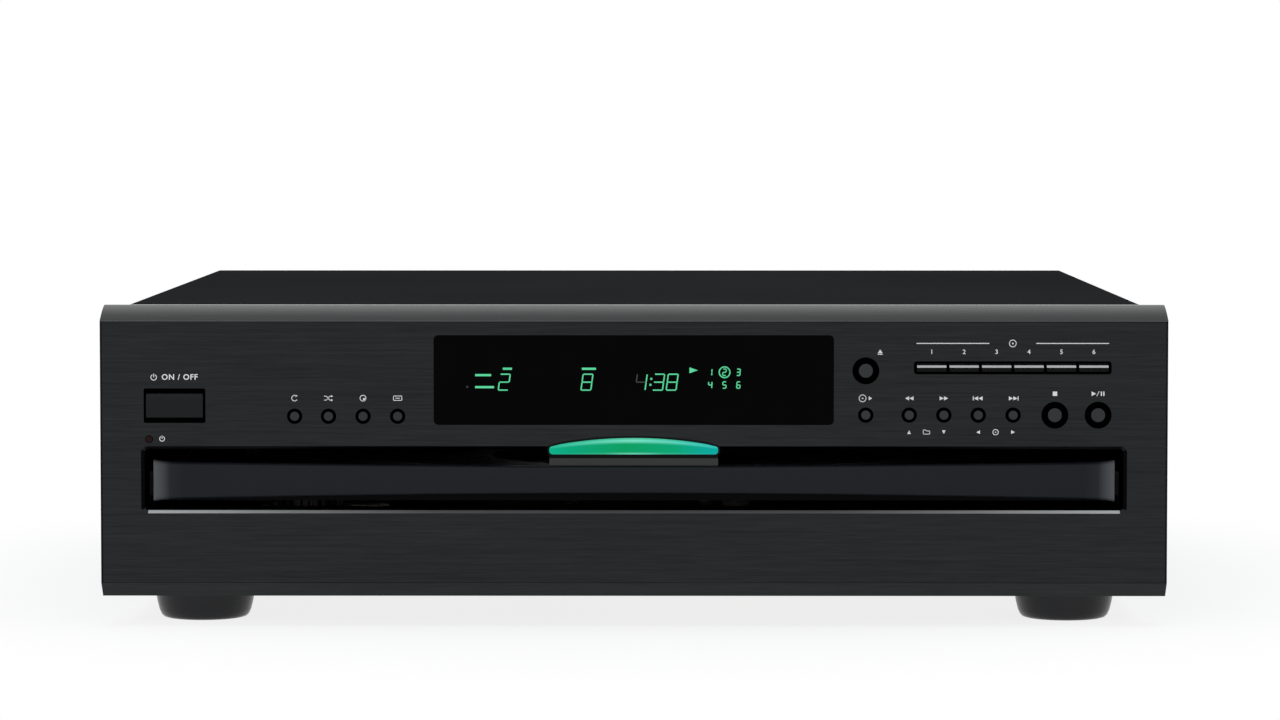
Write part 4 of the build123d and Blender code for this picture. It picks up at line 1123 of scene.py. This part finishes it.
def display_glyphs():
    """Lit figures on the window's face, where the display behind it shows."""
    green = glowing("figure_green", (0.12, 0.74, 0.36))
    marks = Marks(WINDOW_Y - MARK_LIFT)
    for digit, x in DIGITS:
        segment_digit(marks, digit, x, DIGIT_FOOT, DIGIT_WIDE, DIGIT_TALL, DIGIT_THICK)
    dim = Marks(WINDOW_Y - MARK_LIFT)
    segment_digit(dim, "4 dim", DIM_DIGIT_X, DIGIT_FOOT, DIGIT_WIDE, DIGIT_TALL, DIM_THICK)
    dim.bar(*DIM_DOT)
    grey = glowing("figure_grey", (0.06, 0.07, 0.065))
    dim.build("dim_figures", grey, "housing")
    for z in COLON_ZS:
        left, right = (x + DIGIT_LEAN * (z - DIGIT_FOOT) for x in COLON_XS)
        marks.bar(left, right, z - 0.4, z + 0.4)
    for x0, x1, z in BARS:
        marks.bar(x0, x1, z - 0.45, z + 0.45)
    marks.triangle(*PLAY_MARK, "right")
    for row, z in enumerate(GRID_ZS):
        for column, x in enumerate(GRID_XS):
            number = 3 * row + column + 1
            segment_digit(marks, str(number), x - SMALL_LEFT, z - SMALL_DIGIT[1] / 2, *SMALL_DIGIT)
            if number == RINGED:
                marks.ring(x, z, 2.2, 0.5)
    marks.build("display_figures", green, "housing")


panel_print()
rear_details()
display_glyphs()
drawer_face()
lamp()
slot_edge()
bevel_edge()
power_key()
round_caps()
select_keys()
glossy_feet()


# Room: how white the floor shows near the object, and where it has turned all white, in metres
FLOOR_GLOW = 0.8
FLOOR_FADE = (0.2, 0.45)


def distance(n, where, reach):
    """0 up to a distance from the object's middle, rising to 1 at a second one."""
    length = n.add("ShaderNodeVectorMath", {0: where}, operation="LENGTH").outputs["Value"]
    return n.add(
        "ShaderNodeMapRange",
        {"Value": length, "From Min": reach[0], "From Max": reach[1]},
        interpolation_type="SMOOTHSTEP",
    ).outputs["Result"]


def shown_rays(n):
    """1 on rays from the camera, from gloss and through glass."""
    ray = n.add("ShaderNodeLightPath")
    seen = n.calc("MAXIMUM", ray.outputs["Is Camera Ray"], ray.outputs["Is Glossy Ray"])
    return n.calc("MAXIMUM", seen, ray.outputs["Is Transmission Ray"])


def floor():
    """Pale floor that fades to white away from the object and keeps its shadow."""
    mesh = bpy.data.meshes.new("floor")
    mesh.from_pydata([(-6, -4, 0), (6, -4, 0), (6, 8, 0), (-6, 8, 0)], [], [(0, 1, 2, 3)])
    obj = bpy.data.objects.new("floor", mesh)
    scene.collection.objects.link(obj)
    mat, n = new_material("pale_floor")
    where = n.add("ShaderNodeTexCoord").outputs["Object"]
    matte = n.add("ShaderNodeBsdfDiffuse", {"Color": (0.82, 0.82, 0.82, 1)}).outputs["BSDF"]
    lit = n.add("ShaderNodeEmission", {"Color": (1, 1, 1, 1), "Strength": 1.0}).outputs["Emission"]
    far = distance(n, where, FLOOR_FADE)
    glow = n.span(far, FLOOR_GLOW, 1.0)
    shown = n.add("ShaderNodeMixShader", {0: glow, 1: matte, 2: lit}).outputs["Shader"]
    final = n.add("ShaderNodeMixShader", {0: shown_rays(n), 1: matte, 2: shown})
    n.finish(final.outputs["Shader"])
    mesh.materials.append(mat)


def world():
    """Soft cool light, seen as plain white."""
    sky = bpy.data.worlds.new("studio")
    sky.use_nodes = True
    scene.world = sky
    n = Nodes(sky.node_tree)
    soft = n.add("ShaderNodeBackground", {"Color": (0.9, 0.95, 1.0, 1), "Strength": 0.55})
    white = n.add("ShaderNodeBackground", {"Color": (1, 1, 1, 1), "Strength": 1.0})
    shades = {1: soft.outputs["Background"], 2: white.outputs["Background"]}
    mix = n.add("ShaderNodeMixShader", {0: shown_rays(n), **shades})
    n.add("ShaderNodeOutputWorld", {"Surface": mix.outputs["Shader"]})


camera()
floor()
world()
soft_box("top_box", at=(0.0, -0.2, 1.6), target=(0, 0, 0), size=(1.8, 1.4), power=14.0)
soft_box("front_box", at=(-0.9, -2.4, 1.3), target=(0, 0, 0.06), size=(1.2, 0.9), power=12.0)

scene.view_settings.view_transform = "Standard"
